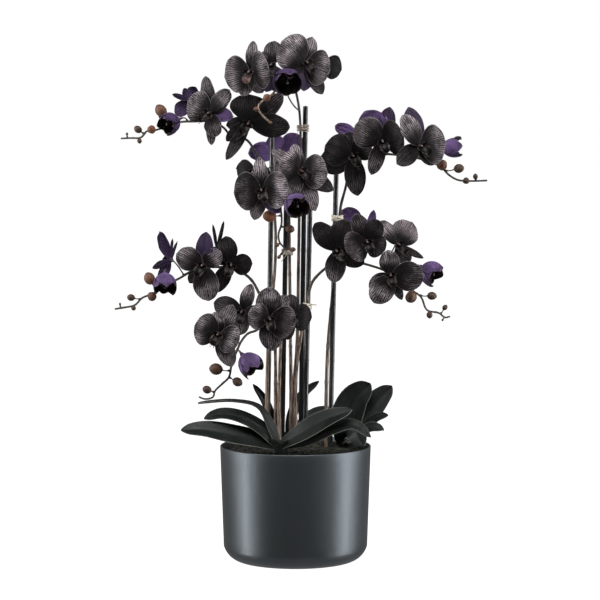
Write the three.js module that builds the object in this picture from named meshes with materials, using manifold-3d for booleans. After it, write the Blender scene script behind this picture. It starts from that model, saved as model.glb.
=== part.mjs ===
// Potted moth orchid in millimetres: +Z is up, the viewer is toward -Y, the pot stands on Z = 0.
import * as THREE from 'three';
import { mergeVertices } from 'three/addons/utils/BufferGeometryUtils.js';
import Module from 'manifold-3d';

const wasm = await Module();
wasm.setup();

// Driving sizes of the pot and what fills it. bevelFlat takes the bevel from a quarter round, at 0, to a
// straight chamfer, at 1.
const POT = {
  height: 200.5, rimRadius: 132.4, lowRadius: 126.4, footRadius: 105, wall: 3.2, floor: 9,
  bevel: 24, bevelSteps: 4, bevelFlat: 0.4,
};
const POT_SIDES = 32;
const SOIL = { top: 190, mound: 7, lump: 2.5, gap: 0.4, rings: 2, holeSides: 6 };

// Gap between pieces that touch, and how deep stakes, stems and crowns stand in the soil
const GAP = 0.3;
const STAKE = { radius: 4.7, sides: 8, foot: 110 };
const STEM = { foot: 150, sides: 4, low: 3.6, high: 1.6, steps: 18 };
const STALK = { radius: 1.5, sides: 3, steps: 2, behind: 14 };
const BUD = { wide: 0.93, long: 1.08, sides: 5, rings: 3, stalk: 1 };
const TIE = { height: 9, band: 1.6, arc: 4, tail: 1.2 };

// Blades of the flowers and leaves
const PETAL = {
  thick: 0.8, rows: 4, columns: 2, floor: 0.13, skew: 1.05, round: 0.6, arch: 4, curl: 0.12, layer: 1.8,
};
const SEPAL = {
  thick: 0.8, rows: 3, columns: 1, floor: 0.2, skew: 0.95, round: 0.7, arch: 2, curl: 0, layer: -1.8,
};
const LEAF = { thick: 1.6, rows: 5, floor: 0.22, skew: 0.9, round: 0.6, curl: -0.16 };
const CORE = { radius: 6, root: 2 };
const LIP = { length: 20, width: 17, forward: 12 };
const CUP = { rows: 3, spread: 52, open: 112, root: 7, inner: 1.8, core: 6 };
const CROWN = { radius: 10, foot: 160, sides: 6, sink: 10 };

// How the photograph looks at the object: a place read off it is across, down and depth behind the pot's axis
const VIEW = { step: 1.75, centre: 300, eye: [8, -3900, 724], aim: [8, 0, 456] };

const STAKES = {
  a: [[305.5, 106, 14], [300.5, 450, 14]],
  b: [[272.5, 120, -1], [267.5, 440, -1]],
  d: [[286.5, 190, 6], [282, 450, 6]],
  c: [[336.4, 165, 0], [330.2, 440, 0]],
  e: [[310.5, 185, -2], [304.7, 450, -2]],
};

// Each tie: how far down the photograph it is, and where its loose end shows
const TIES = {
  a: { down: 128, tail: [296, 137] },
  c: { down: 218, tail: [347, 222] },
  d: { down: 252, tail: [281, 262] },
  e: { down: 306, tail: [317, 305] },
};

// How far each spike swings to the back for each millimetre that it reaches out beyond the stakes
const SWING = { a: 0, b: 0.3, c: -0.25, d: 0, e: 0.3, f: -0.25, g: -0.1 };
const SWING_START = 92;

// Each spike: the route of its stem, its buds as place and radius, some with the place on the stem that they
// hang from, and on one of them a side twig's route
const SPIKES = {
  a: {
    route: [[294, 440, 14], [293.5, 392, 14], [297, 346, 13], [298.5, 264, 12], [299.5, 200, 11],
      [300.3, 150, 10], [300.5, 128, 10], [299, 108, 7], [296, 92, 0], [292, 78, -14], [285, 70, -34],
      [280, 74, -50], [279, 83, -56], [275, 91, -70], [270, 96, -90], [263, 100.5, -101],
      [258, 107, -104], [262, 115, -106], [269, 121.5, -107]],
    buds: [[267, 97.5, -104, 7], [256, 109, -108, 4.5], [270.5, 122.5, -108, 3]],
    twig: [[299.5, 111, 6], [294.5, 106.5, -12], [289.5, 99, -42], [286.5, 92, -66]],
  },
  b: {
    route: [[266, 440, -12], [267, 392, -14], [268.5, 340, -14], [275.3, 260, -10], [275, 220, -8],
      [271, 185, -10], [263, 165, -14], [257, 155, -18], [248, 141, -22], [240, 137, -24],
      [231, 136, -26], [224, 128, -27], [214, 122, -28], [193, 121.5, -28], [181, 122, -29],
      [168, 126, -30], [156, 130, -32], [147, 131, -33], [141, 137.5, -34], [131, 138, -35],
      [121, 138.5, -36]],
    buds: [[161, 110.5, -34, 11, [170, 122]], [151.5, 129.5, -36, 8], [138, 129.3, -35, 7],
      [139.5, 141, -36, 4.5], [127, 134, -36, 2.5]],
  },
  c: {
    route: [[326, 440, 8], [326.3, 392, 9], [328, 346, 11], [332, 300, 12], [336.5, 250, 8],
      [339.2, 220, 3], [341, 205, 1], [345, 190, -1], [349, 174, -4], [356, 162, -8],
      [368, 155.5, -12], [383, 154, -14], [398, 155, -16], [412, 157, -18], [428, 161, -20],
      [441, 167, -22], [449, 175, -23], [458, 180, -24], [472, 181, -24], [487, 180.5, -25]],
    buds: [[442, 165, -30, 10], [459, 168.5, -26, 8.5, [446, 169]], [466, 180.8, -27, 6.3],
      [475.5, 176.5, -26, 4.8]],
  },
  d: {
    route: [[290.5, 440, 2], [291, 392, 0], [290.5, 346, -2], [290, 300, -3], [289.5, 252, -2],
      [289, 215, -4], [288, 185, -8], [286, 165, -14], [282, 152, -26], [278, 150, -42],
      [275, 160, -58], [275, 178, -72], [278, 196, -84], [281, 210, -90], [281.5, 224, -92],
      [278.5, 234, -93], [279.5, 242, -94], [284.5, 249, -95], [281, 254, -95]],
    buds: [[269.5, 216, -98, 11], [290, 229, -95, 7.5], [293, 249.5, -96, 4.5], [277, 245, -94, 4],
      [279, 257, -95, 3.5]],
  },
  e: {
    route: [[296, 440, -10], [295.5, 392, -11], [297.5, 360, -12], [302, 330, -12], [306, 312, -11.5],
      [307.5, 300, -12], [309.5, 290, -14], [313, 281, -17], [320, 273, -20], [329, 266, -24],
      [340, 262, -28], [355, 262, -32], [372, 266, -36], [388, 272, -40], [402, 283, -44],
      [413, 291, -46], [421, 297, -47], [427, 310, -48], [439, 313, -48], [445, 317.5, -48],
      [450, 316.5, -49]],
    buds: [[411, 297, -56, 11], [432, 296, -50, 8, [419, 296]], [429.6, 315, -52, 6], [445, 307.5, -49, 5],
      [442.6, 320, -50, 2.2]],
  },
  f: {
    route: [[275.5, 440, 0], [275.5, 392, -4], [275, 346, -14], [271, 320, -20], [265, 304, -21],
      [259, 293, -19], [253, 282, -17], [246, 275, -17], [238, 271, -18], [228, 268, -22],
      [215, 267, -26], [202, 268, -28], [190, 272, -30], [180, 278, -32], [170, 283, -34],
      [160, 289, -36], [152, 294, -38], [142, 298, -39], [135, 305, -40], [124, 307.5, -41],
      [115, 309, -42]],
    buds: [[149.6, 278.4, -40, 10.5], [152, 296.5, -44, 8.5], [131, 297.5, -41, 6.5, [141, 299]],
      [133.5, 308, -43, 4.5], [120, 304, -42, 2.2]],
  },
  g: {
    route: [[279.5, 440, -12], [279, 400, -14], [280, 360, -18], [281, 335, -24], [280, 318, -30],
      [276, 308, -44], [270, 310, -58], [264, 322, -68], [257, 330, -74], [248, 333.5, -78],
      [241.5, 341, -82], [236, 353, -86], [231.5, 365, -88], [229, 377, -89], [222, 384, -90],
      [215, 391, -90], [213, 397, -91], [205, 399, -91], [199, 397, -92]],
    buds: [[216, 369, -92, 11], [237.5, 382, -92, 8.5], [207, 389.6, -92, 7.5]],
  },
};

// Each flower: its centre, the way it faces in degrees (turn to the right, tilt up), its lip's tip and its
// blades. A blade is its kind, the place of its tip and its width in mm. "back" kinds show their other side.
const FLOWERS = {
  a1: { at: [305, 63, -52], turn: 22, tilt: 5, lip: [310, 78],
    blades: [['petal', 281, 42, 70], ['petal', 329, 72, 64], ['sepal', 313, 37, 30],
      ['back sepal', 304, 91, 34], ['sepal', 323, 94, 30],
      ['sepal', 288, 70, 28]] },
  a2: { at: [251, 72, -88], turn: -22, tilt: 0, lip: [250, 92],
    blades: [['petal', 225, 76, 64], ['petal', 269, 68, 66], ['sepal', 253, 41, 24],
      ['sepal', 241, 96, 32], ['sepal', 262, 93, 30]] },
  a3: { at: [272, 65, -8], turn: -12, tilt: 0,
    blades: [['petal', 275, 41, 34], ['petal', 259, 55, 36], ['back sepal', 266, 92, 34],
      ['back sepal', 277, 92, 32]] },
  a5: { at: [322, 64, 16], turn: 20, tilt: 0,
    blades: [['petal', 341, 70, 43], ['petal', 300, 62, 44], ['sepal', 318, 84, 28]] },
  b1: { at: [249, 122, -58], turn: -10, tilt: -20, lip: [241, 133],
    blades: [['petal', 250, 94, 68], ['petal', 290, 127, 44], ['sepal', 283, 95, 36],
      ['sepal', 226, 160, 22], ['sepal', 226, 141, 24],
      ['sepal', 226, 126, 26]] },
  b2: { at: [211, 113, -58], turn: -25, tilt: 0, lip: [198, 127],
    blades: [['petal', 188, 101, 56], ['petal', 230, 90, 32], ['sepal', 205, 76, 28],
      ['petal', 216, 137, 34], ['sepal', 211, 145, 20],
      ['back sepal', 233, 116, 26]] },
  b3: { at: [189, 100, -4], turn: 200, tilt: 10,
    blades: [['petal', 177, 116, 28], ['petal', 196, 87, 22], ['sepal', 172, 94, 10],
      ['sepal', 184, 88, 14]] },
  c1: { at: [352, 155, -40], turn: 10, tilt: -8, lip: [360, 170],
    blades: [['petal', 325, 145, 58], ['petal', 370, 143, 44], ['sepal', 348, 132, 38],
      ['sepal', 319, 166, 50], ['sepal', 358, 196, 38]] },
  c2: { at: [382, 141, -66], turn: 5, tilt: -5, lip: [386, 153],
    blades: [['petal', 355, 125, 56], ['petal', 403, 134, 62], ['back sepal', 365, 111, 54],
      ['back sepal', 390, 107, 32], ['sepal', 371.5, 175, 28]] },
  c3: { at: [419, 146, -90], turn: 24, tilt: 0, lip: [429, 160],
    blades: [['petal', 402, 115, 37], ['petal', 445, 143, 68], ['back sepal', 409, 107, 38],
      ['sepal', 397, 164, 34], ['sepal', 436, 164, 30]] },
  c5: { at: [358, 136, 20], turn: 180, tilt: 10,
    blades: [['petal', 335, 126, 24], ['petal', 378, 128, 30], ['sepal', 352, 150, 26]] },
  d1: { at: [262, 190, -112], turn: -5, tilt: 0, lip: [268, 208],
    blades: [['petal', 234, 192, 66], ['petal', 289, 190, 64], ['sepal', 259, 157, 26],
      ['sepal', 254, 220, 28], ['back sepal', 280, 213, 28]] },
  d2: { at: [300, 171, -84], turn: 22, tilt: 0, lip: [309, 184],
    blades: [['petal', 279, 163, 60], ['petal', 327, 172, 60], ['sepal', 294, 144, 26],
      ['sepal', 316, 211, 34], ['sepal', 334, 190, 31],
      ['sepal', 272, 150, 24], ['sepal', 291, 197, 28]] },
  d4: { at: [256, 172, -52], turn: -35, tilt: 0,
    blades: [['petal', 237, 169, 38], ['petal', 270, 180, 40], ['sepal', 254, 190, 26]] },
  d5: { at: [280, 151, 28], turn: 172, tilt: 8,
    blades: [['petal', 248, 153, 36], ['petal', 303, 139, 42], ['sepal', 270, 136, 34],
      ['back sepal', 277, 172, 28]] },
  e1: { at: [338, 250, -54], turn: -12, tilt: -8, lip: [345, 256],
    blades: [['petal', 315, 223, 39], ['petal', 348, 220, 50], ['sepal', 333, 283, 37],
      ['sepal', 364, 264, 36]] },
  e2: { at: [367, 241, -84], turn: 2, tilt: -8, lip: [376, 261],
    blades: [['petal', 346, 251, 56], ['petal', 385, 250, 42], ['sepal', 355, 214, 32],
      ['back sepal', 374, 210, 17], ['petal', 379, 220, 36]] },
  e3: { at: [397, 245, -44], turn: 18, tilt: 8, lip: [408, 264],
    blades: [['petal', 380, 221, 27], ['petal', 411, 222, 51], ['sepal', 398, 224, 22],
      ['sepal', 424, 258, 13], ['sepal', 409, 264, 32]] },
  e4: { at: [391, 275, -84], turn: -4, tilt: 0, lip: [398, 303],
    blades: [['petal', 374, 303, 44], ['petal', 424, 277, 52], ['sepal', 388, 250, 36],
      ['sepal', 369, 288, 30], ['sepal', 402, 300, 18]] },
  e6: { at: [362, 226, 24], turn: 180, tilt: 5,
    blades: [['petal', 342, 210, 34], ['petal', 382, 238, 34], ['sepal', 352, 248, 26]] },
  f1: { at: [230, 264, -46], turn: 12, tilt: -8, lip: [224, 276],
    blades: [['petal', 225, 236, 34], ['petal', 252, 264, 38], ['sepal', 215, 252, 26],
      ['sepal', 214, 293, 30]] },
  f2: { at: [203, 265, -66], turn: -8, tilt: -3, lip: [190, 290],
    blades: [['petal', 177, 253, 42], ['petal', 209, 301, 46], ['sepal', 221, 252, 34],
      ['back sepal', 206, 232, 31], ['sepal', 189, 283, 23]] },
  f3: { at: [171, 260, -12], turn: -150, tilt: 8,
    blades: [['petal', 160, 232, 21], ['petal', 161, 283, 22], ['sepal', 172, 238, 6],
      ['sepal', 177, 241, 6], ['sepal', 152, 268, 14]] },
  f5: { at: [217, 250, 14], turn: 170, tilt: 5,
    blades: [['petal', 202, 260, 28], ['petal', 233, 246, 30], ['back sepal', 213, 224, 6],
      ['back sepal', 224, 221, 7]] },
  g1: { at: [219, 334, -110], turn: -10, tilt: 0, lip: [210, 355],
    blades: [['petal', 195, 325, 57], ['petal', 239, 343, 50], ['sepal', 233, 305, 32],
      ['sepal', 232, 367, 34], ['sepal', 214, 312, 30]] },
  g2: { at: [269, 318, -106], turn: 8, tilt: -8, lip: [272, 338],
    blades: [['petal', 248, 314, 46], ['petal', 295, 325, 58], ['sepal', 269, 287, 46],
      ['sepal', 273, 351, 42], ['sepal', 288, 296, 30]] },
  g3: { at: [290, 316, -58], turn: 25, tilt: 0,
    blades: [['petal', 311, 318, 48], ['petal', 290, 294, 34], ['sepal', 288, 340, 24]] },
  g5: { at: [243, 312, -50], turn: -15, tilt: 0,
    blades: [['petal', 214, 303, 39], ['petal', 262, 318, 36], ['sepal', 251, 284, 26],
      ['sepal', 240, 335, 30]] },
};

// Each half-open flower: its centre, the way its mouth faces, and its radius and length in mm
const HALF_OPEN = {
  a4: { at: [287, 82.5, -87], turn: 18, tilt: -32, radius: 24, length: 24 },
  b4: { at: [168, 124, -68], turn: -52, tilt: -20, radius: 19.5, length: 22 },
  c4: { at: [455, 147.5, -6], turn: 95, tilt: 5, radius: 17, length: 22 },
  d3: { at: [297, 206, -122], turn: 32, tilt: -28, radius: 21, length: 23 },
  e5: { at: [433, 274, -50], turn: 66, tilt: -28, radius: 22, length: 24 },
  f4: { at: [165, 285.5, -62], turn: 4, tilt: -60, radius: 20, length: 22 },
  g4: { at: [251.5, 366, -108], turn: 60, tilt: -45, radius: 21, length: 25 },
};

// Each rosette: the place of its crown and its leaves. A leaf is its route, its width in mm and how far it
// lies flat: at 0 degrees it faces the viewer, at 90 it faces up.
const ROSETTES = {
  left: {
    crown: [279, 441, -75],
    leaves: [
      { route: [[258, 440, -85], [232, 435, -95], [205, 430, -100], [181, 430, -104]],
        width: 45, flat: 50 },
      { route: [[264, 431, -72], [243, 419, -76], [222, 414.5, -80], [204, 418.5, -84]],
        width: 40, flat: 62 },
      { route: [[269, 423, -60], [258, 407, -55], [233, 401, -50], [198, 403, -46]],
        width: 26, flat: 84 },
      { route: [[300, 434, -92], [325, 420, -98], [352, 410, -100]], width: 42, flat: 50 },
      { route: [[305, 441, -84], [334, 429, -92], [354, 425, -96], [371, 437, -98]], width: 34, flat: 55 },
    ],
  },
  back: {
    crown: [288, 437, 60],
    leaves: [
      { route: [[273, 420, 52], [265, 401, 46], [253, 384, 40]], width: 17, flat: 20 },
      { route: [[292, 415, 66], [302, 395, 68], [319, 381, 70]], width: 19, flat: 10 },
      { route: [[303, 421, 52], [320, 410, 50], [343, 411, 48]], width: 24, flat: 68 },
    ],
  },
  right: {
    crown: [345, 439, 15],
    leaves: [
      { route: [[346, 420, 24], [354, 399, 28], [370.5, 383.5, 30]], width: 56, flat: 10 },
      { route: [[361, 420, 40], [378, 400, 46], [392, 386, 48]], width: 48, flat: 20 },
      { route: [[366, 428, 2], [378, 418, -4], [388, 415, -8]], width: 38, flat: 65 },
      { route: [[360, 434, -18], [372, 428, -26], [384, 430, -30]], width: 38, flat: 65 },
      { route: [[346, 432, -20], [353, 431, -40], [364, 446, -52]], width: 42, flat: 20 },
    ],
  },
};

const COLOURS = {
  pot: [0x39424a, 0.35, 0.6],
  soil: [0x3a3222, 0.95, 0],
  stake: [0x14161a, 0.25, 0],
  tie: [0xcbb78d, 0.9, 0],
  spike: [0x4a3b2c, 0.7, 0],
  flower: [0x2f2a30, 0.6, 0],
  halfOpen: [0x4d3a80, 0.6, 0],
  leaf: [0x23292a, 0.45, 0],
};

const up = new THREE.Vector3(0, 0, 1);
const towardViewer = new THREE.Vector3(0, -1, 0);
const eye = new THREE.Vector3(...VIEW.eye);
const sight = new THREE.Vector3(...VIEW.aim).sub(eye);
const viewDistance = sight.length();
sight.normalize();
const picture = new THREE.Vector3(0, -sight.z, sight.y);

// The direction from the eye to a place in the photograph
function rayTo(across, down) {
  const ray = sight.clone().multiplyScalar(viewDistance);
  ray.addScaledVector(picture, (VIEW.centre - down) * VIEW.step);
  ray.x += (across - VIEW.centre) * VIEW.step;
  return ray.normalize();
}

function fromPhoto([across, down, depth]) {
  const ray = rayTo(across, down);
  return eye.clone().addScaledVector(ray, (depth - eye.y) / ray.y);
}

// A place on a spike, which swings to the back or front as it reaches out
function onSpike(name, [across, down, depth]) {
  const out = Math.max(0, Math.abs(across - VIEW.centre) * VIEW.step - SWING_START);
  return fromPhoto([across, down, depth + SWING[name] * out]);
}

// Where the same view meets the plane through a point, square to a normal
function ontoPlane(across, down, point, normal) {
  const ray = rayTo(across, down);
  const reach = point.clone().sub(eye).dot(normal) / ray.dot(normal);
  return eye.clone().addScaledVector(ray, reach);
}

function facing(turn, tilt) {
  const t = THREE.MathUtils.degToRad(turn);
  const e = THREE.MathUtils.degToRad(tilt);
  return new THREE.Vector3(Math.sin(t) * Math.cos(e), -Math.cos(t) * Math.cos(e), Math.sin(e));
}

function squareTo(vector, axis) {
  return vector.clone().addScaledVector(axis, -vector.dot(axis)).normalize();
}

function solid(geometry) {
  const bare = geometry.index ? geometry.toNonIndexed() : geometry.clone();
  bare.deleteAttribute('normal');
  bare.deleteAttribute('uv');
  const merged = mergeVertices(bare, 1e-4);
  return new wasm.Manifold(new wasm.Mesh({
    numProp: 3,
    vertProperties: new Float32Array(merged.attributes.position.array),
    triVerts: new Uint32Array(merged.index.array),
  }));
}

function joined(solids) {
  return wasm.Manifold.union(solids);
}

// The largest piece of a join, without loose scraps or sealed hollows
function oneBody(body) {
  const parts = body.decompose();
  parts.sort((p, q) => q.volume() - p.volume());
  return parts[0];
}

function geometryOf(body) {
  const mesh = body.getMesh();
  const geometry = new THREE.BufferGeometry();
  geometry.setAttribute('position', new THREE.BufferAttribute(new Float32Array(mesh.vertProperties), 3));
  geometry.setIndex(new THREE.BufferAttribute(new Uint32Array(mesh.triVerts), 1));
  geometry.computeVertexNormals();
  return geometry;
}

// A closed thin sheet over a grid: both faces are split alike, and a rim joins them
function sheet(rows, columns, thick, pointAt) {
  const grid = [];
  for (let i = 0; i <= rows; i += 1) {
    for (let j = 0; j <= columns; j += 1) grid.push(pointAt(i / rows, (2 * j) / columns - 1));
  }
  const at = (i, j) => i * (columns + 1) + j;
  const positions = [];
  for (const side of [1, -1]) {
    for (let i = 0; i <= rows; i += 1) {
      for (let j = 0; j <= columns; j += 1) {
        const along = grid[at(Math.min(i + 1, rows), j)].clone().sub(grid[at(Math.max(i - 1, 0), j)]);
        const over = grid[at(i, Math.min(j + 1, columns))].clone().sub(grid[at(i, Math.max(j - 1, 0))]);
        const normal = along.cross(over).normalize();
        positions.push(...grid[at(i, j)].clone().addScaledVector(normal, (side * thick) / 2));
      }
    }
  }
  const under = grid.length;
  const faces = [];
  for (let i = 0; i < rows; i += 1) {
    for (let j = 0; j < columns; j += 1) {
      const [a, b, c, d] = [at(i, j), at(i + 1, j), at(i + 1, j + 1), at(i, j + 1)];
      faces.push(a, b, c, a, c, d);
      faces.push(a + under, c + under, b + under, a + under, d + under, c + under);
    }
  }
  const rim = [];
  for (let i = 0; i < rows; i += 1) rim.push(at(i, 0));
  for (let j = 0; j < columns; j += 1) rim.push(at(rows, j));
  for (let i = rows; i > 0; i -= 1) rim.push(at(i, columns));
  for (let j = columns; j > 0; j -= 1) rim.push(at(0, j));
  rim.forEach((p, k) => {
    const q = rim[(k + 1) % rim.length];
    faces.push(p, p + under, q + under, p, q + under, q);
  });
  const geometry = new THREE.BufferGeometry();
  geometry.setAttribute('position', new THREE.Float32BufferAttribute(positions, 3));
  geometry.setIndex(faces);
  return geometry;
}

// Half width of a blade along its length, as a share of its greatest half width
function outline(form, u) {
  return form.floor + (1 - form.floor) * Math.sin(Math.PI * u ** form.skew) ** form.round;
}

function blade(form, centre, tip, normal, width) {
  const along = tip.clone().sub(centre);
  const length = along.length();
  along.normalize();
  const face = squareTo(normal, along);
  const across = new THREE.Vector3().crossVectors(face, along);
  return sheet(form.rows, form.columns, form.thick, (u, v) => {
    const half = (outline(form, u) * width) / 2;
    const lift = form.layer + form.arch * Math.sin(Math.PI * u) - form.curl * half * v * v;
    const point = centre.clone().addScaledVector(along, CORE.root + (length - CORE.root) * u);
    return point.addScaledVector(across, half * v).addScaledVector(face, lift);
  });
}

function lipBlade(centre, tip, normal) {
  const down = squareTo(tip.clone().sub(centre), normal);
  const across = new THREE.Vector3().crossVectors(normal, down);
  return sheet(2, 2, PETAL.thick, (u, v) => {
    const half = (LIP.width / 2) * (0.35 + 0.65 * Math.sin(Math.PI * (0.15 + 0.75 * u)));
    const point = centre.clone().addScaledVector(down, LIP.length * u);
    point.addScaledVector(normal, LIP.forward * Math.sin(Math.PI * 0.7 * u) + 2 + 5 * v * v);
    return point.addScaledVector(across, half * v);
  });
}

function flower(name, { at, turn, tilt, lip, blades }) {
  const centre = onSpike(name[0], at);
  const normal = facing(turn, tilt);
  const pieces = blades.map(([kind, across, down, width]) => {
    const form = kind.endsWith('petal') ? PETAL : SEPAL;
    return solid(blade(form, centre, ontoPlane(across, down, centre, normal), normal, width));
  });
  if (lip) pieces.push(solid(lipBlade(centre, ontoPlane(...lip, centre, normal), normal)));
  pieces.push(solid(core(centre, normal, CORE.radius)));
  return oneBody(joined(pieces));
}

// The small heart of a flower, with a corner pointing back to its stalk
function core(centre, axis, radius) {
  const ball = new THREE.SphereGeometry(radius, 4, 2);
  ball.applyQuaternion(new THREE.Quaternion().setFromUnitVectors(new THREE.Vector3(0, 1, 0), axis));
  ball.translate(...centre);
  return ball;
}

// A half-open flower: three outer blades and an inner one lie on two egg-shaped shells around its axis
function halfOpenFlower(name, { at, turn, tilt, radius, length }) {
  const centre = onSpike(name[0], at);
  const axis = facing(turn, tilt);
  const side = squareTo(new THREE.Vector3(1, 0.2, 0), axis);
  const top = new THREE.Vector3().crossVectors(axis, side);
  const pieces = [];
  for (let k = 0; k < 4; k += 1) {
    const outer = k < 3;
    const middle = THREE.MathUtils.degToRad(outer ? 90 + 120 * k : 270);
    const shell = radius - (outer ? 0 : CUP.inner);
    pieces.push(solid(sheet(CUP.rows, outer ? 2 : 1, PETAL.thick, (u, v) => {
      const polar = THREE.MathUtils.degToRad(CUP.root + (CUP.open - CUP.root) * u);
      const turnAround = middle + THREE.MathUtils.degToRad(CUP.spread) * v * outline(PETAL, u);
      const out = new THREE.Vector3().addScaledVector(side, Math.cos(turnAround));
      out.addScaledVector(top, Math.sin(turnAround));
      const point = centre.clone().addScaledVector(out, shell * Math.sin(polar));
      return point.addScaledVector(axis, -(length - (radius - shell)) * Math.cos(polar));
    })));
  }
  pieces.push(solid(core(centre.addScaledVector(axis, -length), axis, CUP.core)));
  return oneBody(joined(pieces));
}

// The point just behind a flower that its stalk ends at, and the way the stalk comes from
function stalkEnd(name, entry) {
  const normal = facing(entry.turn, entry.tilt);
  const back = entry.blades ? CORE.radius : entry.length + CUP.core;
  return { end: onSpike(name, entry.at).addScaledVector(normal, -back - GAP), normal };
}

// A closed round tube along a curve, its radius running from low to high
function tube(curve, steps, sides, low, high) {
  const frames = curve.computeFrenetFrames(steps, false);
  const positions = [];
  const faces = [];
  for (let i = 0; i <= steps; i += 1) {
    const point = curve.getPointAt(i / steps);
    const radius = low + ((high - low) * i) / steps;
    for (let j = 0; j < sides; j += 1) {
      const angle = (2 * Math.PI * j) / sides;
      const rim = point.clone().addScaledVector(frames.normals[i], radius * Math.cos(angle));
      positions.push(...rim.addScaledVector(frames.binormals[i], radius * Math.sin(angle)));
    }
  }
  for (let i = 0; i < steps; i += 1) {
    for (let j = 0; j < sides; j += 1) {
      const [a, b] = [i * sides + j, i * sides + ((j + 1) % sides)];
      faces.push(a, b, b + sides, a, b + sides, a + sides);
    }
  }
  for (let j = 1; j < sides - 1; j += 1) {
    faces.push(0, j + 1, j);
    faces.push(steps * sides, steps * sides + j, steps * sides + j + 1);
  }
  const geometry = new THREE.BufferGeometry();
  geometry.setAttribute('position', new THREE.Float32BufferAttribute(positions, 3));
  geometry.setIndex(faces);
  return geometry;
}

function stemCurve(name) {
  const points = SPIKES[name].route.map((place) => onSpike(name, place));
  const ground = points[0].clone();
  ground.z = STEM.foot;
  return new THREE.CatmullRomCurve3([ground, ...points], false, 'centripetal');
}

// The place on a stem's straight stretches that lies nearest to a point
function nearestOn(curve, point) {
  const best = curve.getPointAt(0);
  for (let i = 0; i < STEM.steps; i += 1) {
    const [low, high] = [curve.getPointAt(i / STEM.steps), curve.getPointAt((i + 1) / STEM.steps)];
    const stretch = new THREE.Line3(low, high);
    const here = stretch.closestPointToPoint(point, true, new THREE.Vector3());
    if (here.distanceTo(point) < best.distanceTo(point)) best.copy(here);
  }
  return best;
}

function bud(name, curve, [across, down, depth, radius, from]) {
  const place = onSpike(name, [across, down, depth]);
  const root = nearestOn(curve, from ? onSpike(name, [...from, depth]) : place);
  const away = place.clone().sub(root).normalize();
  const body = new THREE.SphereGeometry(radius, BUD.sides, BUD.rings);
  body.scale(BUD.wide, BUD.long, BUD.wide);
  body.applyQuaternion(new THREE.Quaternion().setFromUnitVectors(new THREE.Vector3(0, 1, 0), away));
  body.translate(...place);
  const stalk = tube(new THREE.LineCurve3(root, place), 1, STALK.sides, BUD.stalk, BUD.stalk);
  return joined([solid(body), solid(stalk)]);
}

function stalk(name, curve, entry) {
  const { end, normal } = stalkEnd(name, entry);
  const behind = end.clone().addScaledVector(normal, -STALK.behind);
  const root = nearestOn(curve, behind);
  const bend = new THREE.QuadraticBezierCurve3(root, behind, end);
  return solid(tube(bend, STALK.steps, STALK.sides, STALK.radius, STALK.radius));
}

// A side twig, which starts inside the stem
function twig(name, route) {
  const points = route.map((place) => onSpike(name, place));
  const curve = new THREE.CatmullRomCurve3(points, false, 'centripetal');
  return solid(tube(curve, STALK.steps, STALK.sides, STALK.radius, STALK.radius));
}

function spike(name, { buds, twig: side }) {
  const curve = stemCurve(name);
  const pieces = [solid(tube(curve, STEM.steps, STEM.sides, STEM.low, STEM.high))];
  for (const entry of buds) pieces.push(bud(name, curve, entry));
  if (side) pieces.push(twig(name, side));
  for (const [key, entry] of Object.entries({ ...FLOWERS, ...HALF_OPEN })) {
    if (key[0] === name) pieces.push(stalk(name, curve, entry));
  }
  return oneBody(joined(pieces));
}

function stakeLine([top, low]) {
  const [high, foot] = [fromPhoto(top), fromPhoto(low)];
  const reach = (foot.z - STAKE.foot) / (high.z - foot.z);
  return { top: high, foot: foot.clone().addScaledVector(high.clone().sub(foot), -reach) };
}

function rod({ top, foot }, radius, sides) {
  return tube(new THREE.LineCurve3(foot, top), 1, sides, radius, radius);
}

// A band around a stake and the stem beside it, at the stake's height given by its place in the photograph
function tie(name) {
  const line = stakeLine(STAKES[name]);
  const { down, tail } = TIES[name];
  const middle = fromPhoto([VIEW.centre, down, line.top.y]).z;
  const stake = line.foot.clone().lerp(line.top, (middle - line.foot.z) / (line.top.z - line.foot.z));
  const stem = atHeight(stemCurve(name), middle);
  const ring = (grow) => {
    const points = [];
    const heading = Math.atan2(stem.y - stake.y, stem.x - stake.x);
    const ends = [[stake, STAKE.radius, Math.PI / 2], [stem, STEM.low, -Math.PI / 2]];
    for (const [centre, radius, turn] of ends) {
      for (let k = 0; k <= TIE.arc; k += 1) {
        const angle = heading + turn + (Math.PI * k) / TIE.arc;
        const reach = (radius + grow) / Math.cos(Math.PI / TIE.arc / 2);
        const [x, y] = [centre.x + reach * Math.cos(angle), centre.y + reach * Math.sin(angle)];
        points.push(new THREE.Vector2(x, y));
      }
    }
    return points;
  };
  const shape = new THREE.Shape(ring(GAP * 2 + TIE.band));
  shape.holes.push(new THREE.Path(ring(GAP * 2)));
  const band = new THREE.ExtrudeGeometry(shape, { depth: TIE.height, bevelEnabled: false });
  band.translate(0, 0, middle - TIE.height / 2);
  const front = ring(GAP * 2 + TIE.band / 2).reduce((p, q) => (q.y < p.y ? q : p));
  const knot = new THREE.Vector3(front.x, front.y - TIE.tail, middle);
  const end = fromPhoto([...tail, knot.y - 4 * TIE.tail]);
  const loose = tube(new THREE.LineCurve3(knot, end), 1, 3, TIE.tail, TIE.tail / 2);
  const lump = new THREE.SphereGeometry(2 * TIE.tail, 4, 2);
  lump.translate(...knot);
  return oneBody(joined([solid(band), solid(loose), solid(lump)]));
}

// The first place along a rising curve that reaches a height
function atHeight(curve, height) {
  let share = 0;
  while (curve.getPointAt(share).z < height) share += 0.002;
  return curve.getPointAt(share);
}

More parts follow.
